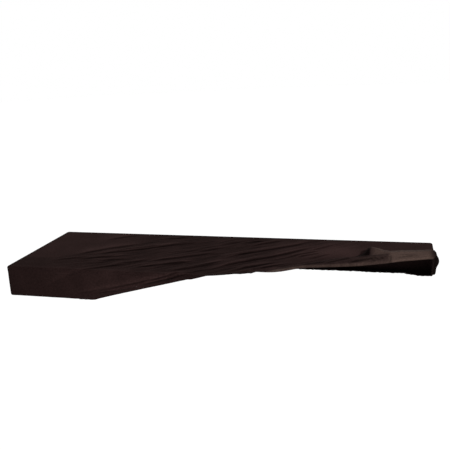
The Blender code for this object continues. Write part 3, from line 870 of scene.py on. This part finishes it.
class Relief:
    """How far the cloth stands off its form, for its folds, gathers and unevenness, and its painted shade.
    """

    def __init__(self, sizes, form):
        self.sizes = sizes
        self.form = form
        self.folds = FOLDS + strewn_folds(sizes.fine_height)
        draw = random.Random(UNEVEN_SEED)
        self.waves = []
        for _ in range(UNEVEN_WAVES):
            turn, start = draw.uniform(0.0, math.pi), draw.uniform(0.0, 2 * math.pi)
            rate = 2 * math.pi / draw.uniform(*UNEVEN_LENGTH)
            self.waves.append((rate * math.cos(turn), rate * math.sin(turn), start))

    def uneven(self, x, y):
        """A gentle unevenness."""
        total = sum(np.sin(rate_x * x + rate_y * y + start) for rate_x, rate_y, start in self.waves)
        return UNEVEN_HEIGHT * total / math.sqrt(len(self.waves))

    def gathers(self, along, to_hem):
        """The gathers that the hem's elastic draws in, of uneven width and height."""
        phase = 2 * math.pi * along / self.sizes.gather_pitch
        for strength, length in GATHER_SHIFTS:
            phase = phase + strength * np.sin(along / length)
        varied = GATHER_MEAN + GATHER_VARIES * np.sin(along / GATHER_VARIES_LENGTH + GATHER_VARIES_START)
        return self.sizes.gather_height * varied * np.sin(phase) * bell(to_hem / GATHER_REACH)

    def edge_fade(self, x, across):
        """0 at the top's ends and back, where the cloth is drawn straight over an edge, and 1 inside."""
        end = smooth((self.form.end - np.abs(x)) / EDGE_FADE)
        return end * smooth((self.form.back + self.form.half_depth - across) / EDGE_FADE)

    def top(self, x, across, start, to_hem):
        """The relief and painted shade of the top, which lies flat under the folded side and beside its
        fold.
        """
        turned = along_front(x, "turned")
        flap = along_front(x, "flap")
        height, crease = fold_height(x, across, self.folds)
        height = height + self.uneven(x, across)
        for swell in SWELLS:
            reach = bell((x - swell.x) / swell.reach_x) * bell((across - swell.across) / swell.reach_across)
            height += swell.height * reach
        height += GATHER_PULLED * self.gathers(x, to_hem) * (turned == 0.0)
        clear = np.where(turned > 0.0, ramp(across, start, FOLD_FADE), 1.0)
        clear = np.where(flap > 0.0, clear * ramp(across - start, flap, FOLD_FADE), clear)
        clear = clear * self.edge_fade(x, across)
        # Painted shade in the creases, and along the top's front edge.
        tone = np.maximum(clear * CREASE_SHADE * crease, edge_shade(x, across))
        return clear * np.maximum(height, LOWEST_TROUGH), tone

    def front(self, x, along, to_hem):
        """The relief and painted shade of the front where it isn't folded back, along from where the top
        ends.
        """
        on_edge = EDGE_RADIUS - along * 2 * EDGE_RADIUS / BEND_LENGTH
        on_wall = BEND_LENGTH - along - EDGE_RADIUS
        stages = [along < 0.0, along < BEND_LENGTH]
        across = np.select(stages, [EDGE_RADIUS - along, on_edge], on_wall)
        height, crease = fold_height(x, across, self.folds)
        height = height + self.uneven(x, across) + GATHER_PULLED * self.gathers(x, to_hem)
        fade = self.edge_fade(x, across)
        # Painted shade along the top's front edge and at the front's left end.
        tone = np.maximum(edge_shade(x, across), END_SHADE * bell((x + self.form.end) / END_REACH))
        tone = np.maximum(fade * CREASE_SHADE * crease, tone)
        return fade * np.maximum(height, LOWEST_TROUGH), tone

    def flap(self, x, back, to_hem):
        """The relief and painted shade of the folded side, which only rises."""
        height, crease = fold_height(x, back, FLAP_FOLDS)
        height = np.maximum(height, 0.0)
        gathers = self.sizes.gather_height * bell(to_hem / GATHER_REACH) + self.gathers(x, to_hem)
        height += GATHER_ON_FLAP * gathers
        line = BAND_LINE_HEIGHT * bell((to_hem - BAND_LINE_FROM_HEM) / BAND_LINE_WIDTH)
        height += line * ramp(x, BAND_LINE_X, BAND_LINE_RISE)
        height += np.abs(self.uneven(x, back))
        clear = smooth(back / FLAP_CLEAR)
        # Painted shade in the wrinkles, with the folded side's other painted shade and shadow.
        tone = WRINKLE_SHADE * clear * crease + self.flap_shade(x, back)
        return clear * height, np.minimum(tone, DARKEST)

    def flap_shade(self, x, back):
        """The painted shade and shadow of the folded side, but for its wrinkles."""
        past_fold = np.maximum(back, 0.0)
        bunched = 1.0 - past_bunch(x)
        rolled = ramp(x, UNDER_START, UNDER_RISE)
        hollow = HOLLOW_SHADOW * smooth((HOLLOW_EDGE - x) / HOLLOW_FADE)
        hollow = hollow * ramp(back, HOLLOW_BACK, HOLLOW_BACK_FADE)
        tuck = TUCK_SHADE * bell((back - TUCK_BACK) / TUCK_REACH) * bunched
        step = STEP_SHADOW * bell((x - BUNCH_STOP - BUNCH_FALL) / STEP_REACH)
        step = step * smooth((STEP_BACK - back) / STEP_BACK_FADE)
        under = UNDER_SHADE * (rolled * bunched) * bell(past_fold / UNDER_REACH)
        wave = 0.5 + 0.5 * np.sin(x / DASH_LENGTH + DASH_SHIFT * np.sin(x / DASH_SHIFT_LENGTH))
        dashes = DASH_SHADE * wave * bell(past_fold / DASH_REACH) * (1.0 - rolled)
        return np.maximum.reduce([hollow, under, tuck, step]) + dashes

    def spread(self, x, back):
        """How much the folded side's inner face shows lighter, by its own colour and by painted light."""
        end = CORNER_LIT + (1.0 - CORNER_LIT) * smooth((self.form.end - x) / BAND_END)
        band = past_bunch(x) * end
        crest = CREST_LIT * ramp(back, CREST_LIT_BACK, CREST_LIT_FADE)
        crest = crest * ramp(x, CREST_LIT_X, CREST_LIT_RISE)
        fold = FOLD_LIT * (1.0 - smooth(back / FOLD_LIT_REACH))
        roll = ROLL_LIT * (1.0 - smooth(back / ROLL_LIT_REACH))
        roll = roll * smooth((x - UNDER_START) / UNDER_RISE + 1.0)
        return np.maximum.reduce([band, roll, crest, fold])

    def side(self, along, s, to_hem):
        """The relief of the other sides."""
        return self.gathers(along, to_hem) + self.uneven(along, s) * smooth(s / EDGE_FADE)


def taut_shade_share(x, across, where):
    """Taut share, which sets the painted shade: 1 between folds, 0 where smooth, below 0 in painted light.
    """
    left = smooth(behind_fold(x, across, FOLDS[1]) / SMOOTH_EDGE) * ramp(across, SMOOTH_ACROSS, SMOOTH_EDGE)
    left = left * (1.0 - ramp(x, SMOOTH_LEFT, SMOOTH_FADE))
    corner = smooth(behind_fold(x, across, FOLDS[2]) / SMOOTH_EDGE)
    on_front = PULLED_FRONT + (1.0 - PULLED_FRONT) * smooth(across / SMOOTH_EDGE)
    pulled = (1.0 - ramp(x, PULLED_END, PULLED_FADE)) * (1.0 - np.maximum(left, corner)) * on_front
    # Patches of painted light, which also have no fine lines.
    for patch in LIGHT_PATCHES:
        reach = bell((x - patch.x) / patch.reach_x) * bell((across - patch.across) / patch.reach_across)
        pulled = pulled - patch.share * reach
    return np.where(where, pulled, 0.0)


def place_points(bm, points):
    """Move the points of the bmesh to their places."""
    for v, point in zip(bm.verts, points):
        v.co = point


def shape_cloth(sizes):
    """The cloth's middle surface, with its folds, and what its finish has to know at each point."""
    form = CoverForm(sizes)
    relief = Relief(sizes, form)
    columns, rows = grid_lines(form)
    last_column, last_row = len(columns) - 1, len(rows) - 1
    bm, places = cloth_grid(last_column, last_row)
    i, j, k = places.T
    x = columns[i]
    start = form.front_start(x)
    y = start + (form.back - start) * rows[j]
    turned = along_front(x, "turned")
    on_top = k == 0
    on_right = ~on_top & (i == last_column) & (j < last_row)
    on_front = ~on_top & ~on_right & (j == 0)
    on_plain = ~on_top & ~on_right & ~on_front
    folded = on_front & (turned > 0.0)
    lying = on_front & (turned == 0.0)

    s = start - y
    total = form.front_skirt(x)
    known = {}
    for n in np.flatnonzero(~on_top):
        side = "right" if on_right[n] else "front" if on_front[n] else "plain"
        key = side, i[n], j[n]
        if key not in known:
            known[key] = skirt_rows(form, side, x[n], y[n])
        s[n], total[n] = known[key][k[n]], known[key][-1]
    to_hem = total - s

    points = np.zeros((len(x), 3))
    px, py = form.top(x, y)
    points[on_top] = np.stack((px, py, np.full_like(x, form.level)), axis=1)[on_top]
    points[on_plain] = form.side(x[on_plain], y[on_plain], s[on_plain])
    points[folded] = form.folded_front(x[folded], s[folded])
    points[lying] = form.plain_front(x[lying], s[lying])
    points[on_right] = form.right(y[on_right], s[on_right])

    nx, ny = form.outward(x, y)
    flat = np.stack((np.where(on_top, x, x + nx * s), np.where(on_top, y, y + ny * s)), axis=1)
    flat[on_front] = np.stack((x, start - s), axis=1)[on_front]
    flat[on_right] = np.stack((form.end + s, y), axis=1)[on_right]

    height, crease = np.zeros_like(x), np.zeros_like(x)
    across = py + form.half_depth
    fold = start + form.half_depth
    height[on_top], crease[on_top] = relief.top(x[on_top], across[on_top], fold[on_top], to_hem[on_top])
    along = s - (start + form.back)
    height[lying], crease[lying] = relief.front(x[lying], along[lying], to_hem[lying])
    back = s - LOOP_LENGTH * turned
    height[folded], crease[folded] = relief.flap(x[folded], back[folded], to_hem[folded])
    at = np.where(np.abs(nx) > np.abs(ny), y, x)
    height[on_plain] = relief.side(at[on_plain], s[on_plain], to_hem[on_plain])
    behind = y - form.corner_y
    near_corner = on_right & (behind < form.short)
    # Painted shade on the corner that is folded back outside the right side.
    crease[near_corner & (s > behind)] = CORNER_SHADE
    plain_right = on_right & (behind > form.short)
    height[plain_right] = relief.side(y[plain_right], s[plain_right], to_hem[plain_right])
    at_seam = on_plain & ((i == 0) | (i == last_column)) & ((j == 0) | (j == last_row))
    at_seam |= on_front & (i == 0)
    height[at_seam] -= SEAM_DEPTH

    place_points(bm, points)
    bmesh.ops.recalc_face_normals(bm, faces=bm.faces)
    middle = min(bm.faces, key=lambda f: f.calc_center_median().length)
    if middle.normal.z < 0.0:
        bmesh.ops.reverse_faces(bm, faces=bm.faces)
    bm.normal_update()
    normals = np.array([v.normal for v in bm.verts])
    normals[folded] = (0.0, 0.0, 1.0)
    points = points + normals * height[:, None]
    place_points(bm, points)
    bm.normal_update()
    # The taut share sets the painted shade, the painted light in its patches, and the fine lines.
    pulled = taut_shade_share(x, across, on_top | lying)
    lined = np.maximum(pulled, 0.0) * ramp(x, LINED_LEFT, LINED_FADE)
    # Where the inner face shows lighter: its own colour on the band, and painted light.
    spread = np.zeros_like(x)
    spread[folded] = relief.spread(x[folded], back[folded])
    spread[near_corner] = CORNER_LIT
    return Cloth(bm, places, points, flat, height, crease, pulled, lined, to_hem, spread)


def finished_mesh(name, bm):
    """A mesh of the bmesh, which is then freed."""
    mesh = bpy.data.meshes.new(name)
    bm.to_mesh(mesh)
    bm.free()
    return mesh


def add_object(scene, name, data):
    """A new object in the scene, for a mesh, a light or a camera."""
    made = bpy.data.objects.new(name, data)
    scene.collection.objects.link(made)
    return made


def add_thickness(piece, rows, sizes):
    """Give the cloth its thickness, greatest in the hem, and its inner face a finish of its own."""
    group = piece.vertex_groups.new(name="thickness")
    shares = np.where(rows > HEM_START_ROW, 1.0, sizes.thickness / sizes.hem_thickness)
    shares[rows == SIDE_ROWS] = HEM_EDGE_SHARE
    for n, share in enumerate(shares.tolist()):
        group.add([n], share, "REPLACE")
    solidify = piece.modifiers.new("thickness", "SOLIDIFY")
    solidify.thickness = sizes.hem_thickness
    solidify.offset = 0.0
    solidify.vertex_group = "thickness"
    solidify.material_offset = 1


class COVER_OT_cloth(bpy.types.Operator):
    """Add the cover's cloth: its top, four sides and hem in one sheet, with the folds of the pull"""

    bl_idname = "cover.cloth"
    bl_label = "Cloth"
    bl_options = {"REGISTER", "UNDO"}

    def execute(self, context):
        sizes = context.scene.cover_sizes
        look = context.scene.cover_look
        cloth = shape_cloth(sizes)
        mesh = finished_mesh("cover_fabric", cloth.bm)
        corners = np.empty(len(mesh.loops), dtype=np.int32)
        mesh.loops.foreach_get("vertex_index", corners)
        mesh.uv_layers.new(name="cloth_uv").data.foreach_set("uv", cloth.flat[corners].ravel())
        for name in POINT_VALUES:
            values = getattr(cloth, name).astype(np.float32)
            mesh.attributes.new(name, "FLOAT", "POINT").data.foreach_set("value", values)
        mesh.shade_smooth()
        mesh.materials.append(outside_material(look, sizes.hem_width))
        mesh.materials.append(inside_material(look, sizes.hem_width))
        piece = add_object(context.scene, "cover_fabric", mesh)
        add_thickness(piece, cloth.places[:, 2], sizes)
        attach(piece, "root")
        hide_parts("cover_cloth")
        return {"FINISHED"}


def hem_ring(places, row):
    """The points of one row down the sides, in order round the whole cover and back to the first."""
    at = {tuple(place): n for n, place in enumerate(places)}
    last_column, last_row = places[:, 0].max(), places[:, 1].max()
    ring = [(i, 0) for i in range(last_column)]
    ring += [(last_column, j) for j in range(last_row)]
    ring += [(i, last_row) for i in range(last_column, 0, -1)]
    ring += [(0, j) for j in range(last_row, -1, -1)]
    return [at[i, j, row] for i, j in ring]


def stitch_mesh(length):
    """One stitch along +X, dipping into the cloth at both ends."""
    bm = bmesh.new()
    made = bmesh.ops.create_cube(bm, size=1.0)["verts"]
    bmesh.ops.scale(bm, vec=(length, THREAD_WIDTH, THREAD_WIDTH), verts=made)
    lengthwise = [e for e in bm.edges if abs(e.verts[0].co.x - e.verts[1].co.x) > length / 2]
    bmesh.ops.subdivide_edges(bm, edges=lengthwise, cuts=STITCH_CUTS, use_grid_fill=True)
    for v in bm.verts:
        v.co.z -= STITCH_DIP * (2 * v.co.x / length) ** 2
    return finished_mesh("stitch", bm)


def add_copy(bm, mesh, place):
    """Add a copy of the mesh to the bmesh, in its place."""
    copy = mesh.copy()
    copy.transform(place)
    bm.from_mesh(copy)
    bpy.data.meshes.remove(copy)


def value_at(distance, passed, values):
    """The vector at a distance along the ring, between those of its points."""
    return Vector([np.interp(distance, passed, values[:, axis]) for axis in range(3)])


class COVER_OT_stitching(bpy.types.Operator):
    """Add the row of stitches that holds the turned hem, on both faces of the cloth"""

    bl_idname = "cover.stitching"
    bl_label = "Hem stitching"
    bl_options = {"REGISTER", "UNDO"}

    def execute(self, context):
        sizes = context.scene.cover_sizes
        cloth = shape_cloth(sizes)
        cloth.bm.verts.ensure_lookup_table()
        ring = hem_ring(cloth.places, STITCH_ROW)
        places = cloth.points[ring]
        normals = np.array([cloth.bm.verts[n].normal for n in ring])
        cloth.bm.free()
        passed = np.concatenate(([0.0], np.cumsum(np.linalg.norm(np.diff(places, axis=0), axis=1))))
        count = round(passed[-1] / sizes.stitch_pitch)
        length = passed[-1] / count * STITCH_SHARE
        off = sizes.hem_thickness / 2
        bm = bmesh.new()
        stitch = stitch_mesh(length)
        for n in range(count):
            middle = passed[-1] * (n + 0.5) / count
            first = value_at(middle - length / 2, passed, places)
            last = value_at(middle + length / 2, passed, places)
            normal = value_at(middle, passed, normals).normalized()
            along = (last - first).normalized()
            for face in (1.0, -1.0):
                up = normal * face
                across = up.cross(along).normalized()
                turn = Matrix((along, across, up)).transposed().to_4x4()
                add_copy(bm, stitch, Matrix.Translation((first + last) / 2 + up * off) @ turn)
        bpy.data.meshes.remove(stitch)
        mesh = finished_mesh("hem_stitching", bm)
        mesh.shade_smooth()
        mesh.materials.append(thread_material(context.scene.cover_look))
        piece = add_object(context.scene, "hem_stitching", mesh)
        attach(piece, "root")
        return {"FINISHED"}


class NodeMaker:
    """Adds nodes to a tree and feeds their sockets."""

    def __init__(self, tree):
        self.tree = tree

    def feed(self, socket, value):
        """Link the socket to another one, or set it to a value."""
        if isinstance(value, bpy.types.NodeSocket):
            self.tree.links.new(value, socket)
        else:
            socket.default_value = value

    def add(self, kind, inputs=None, **settings):
        """A node with its settings, and its inputs by name or number, each a value or another's socket."""
        node = self.tree.nodes.new(kind)
        for name, value in settings.items():
            setattr(node, name, value)
        for name, value in (inputs or {}).items():
            self.feed(node.inputs[name], value)
        return node

    def math(self, operation, *values):
        """The result of a Math node."""
        return self.add("ShaderNodeMath", dict(enumerate(values)), operation=operation).outputs[0]

    def between(self, value, low, high):
        """0 to 1 as the value goes from low to high, level at both ends."""
        inputs = {"Value": value, "From Min": low, "From Max": high}
        return self.add("ShaderNodeMapRange", inputs, interpolation_type="SMOOTHSTEP").outputs[0]

    def noise(self, vector, kind):
        """A noise between 0 and 1."""
        inputs = {"Vector": vector, "Scale": kind.scale, "Detail": kind.detail, "Roughness": kind.roughness}
        return self.add("ShaderNodeTexNoise", inputs).outputs["Fac"]

    def mix(self, share, first, second):
        """Two colours mixed."""
        node = self.add("ShaderNodeMix", data_type="RGBA")
        for name, kind, value in (("Factor", "VALUE", share), ("A", "RGBA", first), ("B", "RGBA", second)):
            socket = next(s for s in node.inputs if s.name == name and s.type == kind)
            self.feed(socket, value)
        return next(s for s in node.outputs if s.type == "RGBA")


def new_group(name, inputs, outputs):
    """A shader node group with its maker, inputs and outputs, from its inputs' defaults by their names."""
    group = bpy.data.node_groups.new(name, "ShaderNodeTree")
    for label, value in inputs.items():
        kind = SOCKET_KINDS.get(label, "NodeSocketFloat")
        socket = group.interface.new_socket(label, in_out="INPUT", socket_type=kind)
        if value is not None:
            socket.default_value = value
    for label in outputs:
        kind = SOCKET_KINDS.get(label, "NodeSocketFloat")
        group.interface.new_socket(label, in_out="OUTPUT", socket_type=kind)
    make = NodeMaker(group)
    return group, make, make.add("NodeGroupInput").outputs, make.add("NodeGroupOutput").inputs


def knit_group():
    """Loops of a plain knit, from the cloth's own flat coordinates in metres."""
    if "knit_loops" in bpy.data.node_groups:
        return bpy.data.node_groups["knit_loops"]
    group, make, given, result = new_group("knit_loops", {"Vector": None, "Pitch": KNIT_PITCH}, ["Height"])
    flat = make.add("ShaderNodeSeparateXYZ", {0: given["Vector"]}).outputs
    column = make.math("FRACT", make.math("DIVIDE", flat["X"], given["Pitch"]))
    arm = make.math("MULTIPLY", make.math("ABSOLUTE", make.math("SUBTRACT", column, 0.5)), 2.0)
    course = make.math("DIVIDE", flat["Y"], make.math("MULTIPLY", given["Pitch"], COURSE_SHARE))
    turn = make.math("ADD", course, make.math("MULTIPLY", arm, ARM_LEAN))
    yarn = make.math("SINE", make.math("MULTIPLY", turn, 2 * math.pi))
    yarn = make.math("MULTIPLY_ADD", yarn, 0.5, 0.5)
    bulge = make.math("SINE", make.math("MULTIPLY", arm, math.pi))
    bulge = make.math("MULTIPLY_ADD", bulge, ARM_BULGE, 1.0 - ARM_BULGE)
    make.feed(result["Height"], make.math("MULTIPLY", yarn, bulge))
    return group


def tone_group():
    """The cloth's colour, mottled and with lint: painted lighter on ridges, painted shade in creases and
    where taut.
    """
    if "cloth_tone" in bpy.data.node_groups:
        return bpy.data.node_groups["cloth_tone"]
    inputs = {
        "Vector": None,
        "Colour": None,
        "Raised": 0.0,
        "Creased": 0.0,
        "Knit": 0.0,
        "Mottle": 0.3,
        "Rub": 0.3,
        "Shade": 0.48,
        "Pulled": 0.0,
        "Lines": 0.5,
        "Lined": 0.0,
        "Taut Shade Depth": 0.36,
        "Streak": 2.4,
        "Lint": 0.2,
    }
    group, make, given, result = new_group("cloth_tone", inputs, ["Colour"])
    clouds = make.noise(given["Vector"], CLOUDS)
    grain = make.noise(given["Vector"], GRAIN)
    mottle = make.math("MULTIPLY_ADD", grain, GRAIN_WEIGHT, clouds)
    mottle = make.math("SUBTRACT", mottle, (GRAIN_WEIGHT + 1.0) / 2)
    mottled = make.math("MULTIPLY_ADD", mottle, given["Mottle"], 1.0)
    # Painted highlight on the ridges, and painted shade in the troughs.
    ridge = make.math("MULTIPLY", given["Raised"], 1.0 / RIDGE_FULL)
    ridge = make.math("MINIMUM", make.math("MAXIMUM", ridge, DEEPEST_TROUGH_SHADE), 1.0)
    ridge_lit = make.math("MULTIPLY_ADD", ridge, given["Rub"], 1.0)
    # Painted shade between the knit's loops.
    loops = make.math("MULTIPLY_ADD", given["Knit"], LOOP_TONE, LOOP_DARKEST)
    # Shade painted into the creases, along the edges and on the folded side.
    shade = make.math("SUBTRACT", 1.0, make.math("MULTIPLY", given["Creased"], given["Shade"]))
    # Painted light and shade along the fine lines, and painted shade where the cloth is taut.
    streak = make.math("MULTIPLY", make.math("SUBTRACT", given["Lines"], 0.5), given["Streak"])
    streak = make.math("MULTIPLY_ADD", streak, given["Lined"], 1.0)
    taut = make.math("SUBTRACT", streak, make.math("MULTIPLY", given["Pulled"], given["Taut Shade Depth"]))
    shade = make.math("MULTIPLY", loops, make.math("MULTIPLY", shade, taut))
    strength = make.math("MULTIPLY", make.math("MULTIPLY", mottled, ridge_lit), shade)
    scaled = make.add("ShaderNodeVectorMath", {0: given["Colour"], "Scale": strength}, operation="SCALE")
    specks = make.between(make.noise(given["Vector"], LINT), LINT_FROM, LINT_FULL)
    share = make.math("MULTIPLY", specks, given["Lint"])
    make.feed(result["Colour"], make.mix(share, scaled.outputs[0], LINT_COLOUR))
    return group


def relief_group():
    """The small relief of the cloth in metres: its loops, its crinkles, and fine lines along the pull."""
    if "cloth_relief" in bpy.data.node_groups:
        return bpy.data.node_groups["cloth_relief"]
    inputs = {"Vector": None, "Knit": 0.0, "Lined": 0.0, "Crinkle": 0.0006, "Line": 0.0008, "Loop": 0.0001}
    group, make, given, result = new_group("cloth_relief", inputs, ["Height", "Lines"])
    crinkle = make.math("MULTIPLY", make.noise(given["Vector"], CRINKLES), given["Crinkle"])
    turned = make.add(
        "ShaderNodeMapping",
        {"Vector": given["Vector"], "Rotation": (0.0, 0.0, PULL_ANGLE), "Scale": (PULL_STRETCH, 1.0, 1.0)},
        vector_type="TEXTURE",
    )
    lines = make.noise(turned.outputs[0], PULL_LINES)
    line = make.math("MULTIPLY", make.math("MULTIPLY", lines, given["Line"]), given["Lined"])
    loops = make.math("MULTIPLY", given["Knit"], given["Loop"])
    make.feed(result["Height"], make.math("ADD", make.math("ADD", crinkle, line), loops))
    make.feed(result["Lines"], lines)
    return group


def new_material(name):
    """A material with its maker and its shader."""
    material = bpy.data.materials.new(name)
    material.use_nodes = True
    tree = material.node_tree
    return material, NodeMaker(tree), tree.nodes["Principled BSDF"]


def opaque(colour, share=1.0):
    """The colour with its alpha, or a share of it that makes it darker or lighter."""
    return (*(part * share for part in colour), 1.0)


def cloth_material(name, look, hem_width, colours, face):
    """Knit that stretches, in the colours of its plain cloth, its folded band with painted light, and the
    band's hem.
    """
    plain, band, hem = colours
    material, make, shader = new_material(name)
    flat = make.add("ShaderNodeUVMap", uv_map="cloth_uv").outputs["UV"]
    point = {}
    for value in POINT_VALUES:
        point[value] = make.add("ShaderNodeAttribute", attribute_name=value).outputs["Fac"]
    loops = make.add("ShaderNodeGroup", {"Vector": flat, "Pitch": look.knit_pitch}, node_tree=knit_group())
    knit = loops.outputs["Height"]
    inputs = {"Vector": flat, "Knit": knit, "Lined": point["lined"]}
    relief = make.add("ShaderNodeGroup", inputs, node_tree=relief_group())
    # The lighter band colour, partly painted light, where the inner face shows lighter.
    on_band = make.mix(point["spread"], opaque(plain), opaque(band))
    in_hem = make.math("MULTIPLY", make.math("LESS_THAN", point["to_hem"], hem_width), point["spread"])
    inputs = {
        "Vector": flat,
        "Colour": make.mix(in_hem, on_band, opaque(hem)),
        "Raised": point["raised"],
        "Creased": point["creased"],
        "Knit": knit,
        "Mottle": face.mottle,
        "Rub": face.rub,
        "Pulled": point["pulled"],
        "Lines": relief.outputs["Lines"],
        "Lined": point["lined"],
    }
    tone = make.add("ShaderNodeGroup", inputs, node_tree=tone_group())
    height = relief.outputs["Height"]
    bump = make.add("ShaderNodeBump", {"Strength": 1.0, "Distance": 1.0, "Height": height})
    matt = make.noise(flat, MATT_PATCHES)
    matt = make.math("MULTIPLY_ADD", matt, MATT_VARIES, look.roughness - MATT_VARIES / 2)
    make.feed(shader.inputs["Base Color"], tone.outputs["Colour"])
    make.feed(shader.inputs["Normal"], bump.outputs["Normal"])
    make.feed(shader.inputs["Roughness"], matt)
    shader.inputs["Metallic"].default_value = 0.0
    shader.inputs["Specular IOR Level"].default_value = 0.0
    shader.inputs["Sheen Weight"].default_value = look.sheen
    shader.inputs["Sheen Roughness"].default_value = SHEEN_ROUGHNESS
    shader.inputs["Sheen Tint"].default_value = SHEEN_TINT
    return material


def outside_material(look, hem_width):
    """The outer face of the cloth."""
    return cloth_material("knit_outside", look, hem_width, [look.outside] * 3, OUTER_FACE)


def inside_material(look, hem_width):
    """The inner face of the cloth, lighter and greyer on the band, by its own colour and by painted light.
    """
    hem = [part * tint for part, tint in zip(look.band, HEM_TINT)]
    return cloth_material("knit_inside", look, hem_width, [look.inside, look.band, hem], INNER_FACE)


def thread_material(look):
    """Twisted sewing thread."""
    material, make, shader = new_material("sewing_thread")
    place = make.add("ShaderNodeTexCoord").outputs["Object"]
    shade = make.noise(place, THREAD_TWIST)
    colour = make.mix(shade, opaque(look.thread, THREAD_DARK), opaque(look.thread, THREAD_LIGHT))
    make.feed(shader.inputs["Base Color"], colour)
    shader.inputs["Roughness"].default_value = THREAD_ROUGHNESS
    shader.inputs["Specular IOR Level"].default_value = THREAD_SPECULAR
    return material


def floor_material(look):
    """The matt pale floor of the studio."""
    material, _, shader = new_material("studio_floor")
    shader.inputs["Base Color"].default_value = opaque(look.floor)
    shader.inputs["Roughness"].default_value = 1.0
    shader.inputs["Specular IOR Level"].default_value = 0.0
    return material


class COVER_OT_stage(bpy.types.Operator):
    """Add the studio: a pale floor, soft light and the camera"""

    bl_idname = "cover.stage"
    bl_label = "Studio"
    bl_options = {"REGISTER", "UNDO"}

    def execute(self, context):
        look = context.scene.cover_stage
        add_floor(context.scene, look)
        add_light(context.scene, look)
        add_camera(context.scene)
        return {"FINISHED"}


def add_floor(scene, look):
    """A wide round floor, so far below that no shadow on it falls into the picture."""
    bm = bmesh.new()
    bmesh.ops.create_circle(bm, cap_ends=True, segments=FLOOR_SIDES, radius=FLOOR_RADIUS)
    bmesh.ops.translate(bm, vec=(0.0, 0.0, -look.floor_drop), verts=bm.verts)
    mesh = finished_mesh("studio_floor", bm)
    mesh.materials.append(floor_material(look))
    floor = add_object(scene, "studio_floor", mesh)


def add_light(scene, look):
    """A soft main light from the front right, and even light from all round before a white backdrop."""
    light = bpy.data.lights.new("key_light", "SUN")
    light.energy = look.key
    light.angle = look.key_size
    turn, rise = look.key_turn, look.key_rise
    towards = Vector((math.sin(turn) * math.cos(rise), -math.cos(turn) * math.cos(rise), math.sin(rise)))
    lamp = add_object(scene, "key_light", light)
    lamp.rotation_euler = towards.to_track_quat("Z", "Y").to_euler()

    world = bpy.data.worlds.new("studio")
    world.use_nodes = True
    make = NodeMaker(world.node_tree)
    seen = make.add("ShaderNodeLightPath").outputs["Is Camera Ray"]
    strength = make.math("MULTIPLY_ADD", seen, 1.0 - look.sky, look.sky)
    backdrop = world.node_tree.nodes["Background"].inputs
    backdrop["Color"].default_value = (1.0, 1.0, 1.0, 1.0)
    make.feed(backdrop["Strength"], strength)
    scene.world = world
    scene.view_settings.view_transform = "Standard"


def add_camera(scene):
    """The camera, turned about its upright and its level axis and rolled a little."""
    data = bpy.data.cameras.new("camera")
    data.lens = CAMERA_LENS
    data.sensor_width = SENSOR_WIDTH
    ahead = Vector((
        -math.sin(CAMERA_YAW) * math.cos(CAMERA_PITCH),
        math.cos(CAMERA_YAW) * math.cos(CAMERA_PITCH),
        -math.sin(CAMERA_PITCH),
    ))
    level = Vector((math.cos(CAMERA_YAW), math.sin(CAMERA_YAW), 0.0))
    upright = level.cross(ahead)
    right = level * math.cos(CAMERA_ROLL) + upright * math.sin(CAMERA_ROLL)
    up = upright * math.cos(CAMERA_ROLL) - level * math.sin(CAMERA_ROLL)
    turn = Matrix((right, up, -ahead)).transposed().to_4x4()
    camera = add_object(scene, "camera", data)
    camera.matrix_world = Matrix.Translation(CAMERA_PLACE) @ turn
    scene.camera = camera


class COVER_PT_panel(bpy.types.Panel):
    """Lists the cover's pieces, sizes and colours"""

    bl_label = "Fitted cover"
    bl_idname = "COVER_PT_panel"
    bl_space_type = "VIEW_3D"
    bl_region_type = "UI"
    bl_category = "Cover"

    def draw(self, context):
        for group_name, label in LABELS.items():
            group = getattr(context.scene, group_name)
            box = self.layout.box()
            box.label(text=label)
            for name in group.__annotations__:
                box.prop(group, name)
        for operator in OPERATORS:
            self.layout.operator(operator.bl_idname)


OPERATORS = (COVER_OT_cloth, COVER_OT_stitching, COVER_OT_stage)
GROUPS = {"cover_sizes": CoverSizes, "cover_look": ClothLook, "cover_stage": StageLook}
LABELS = {"cover_sizes": "Sizes", "cover_look": "Cloth", "cover_stage": "Studio"}


def register():
    """Make the classes and the scene's settings known to Blender."""
    for cls in (*GROUPS.values(), *OPERATORS, COVER_PT_panel):
        bpy.utils.register_class(cls)
    for name, group in GROUPS.items():
        setattr(bpy.types.Scene, name, PointerProperty(type=group))


def unregister():
    """Take them away again."""
    for name in GROUPS:
        delattr(bpy.types.Scene, name)
    for cls in reversed((*GROUPS.values(), *OPERATORS, COVER_PT_panel)):
        bpy.utils.unregister_class(cls)


def main():
    """Build the cover and its studio."""
    register()
    bpy.ops.cover.cloth()
    bpy.ops.cover.stitching()
    bpy.ops.cover.stage()


if __name__ == "__main__":
    main()
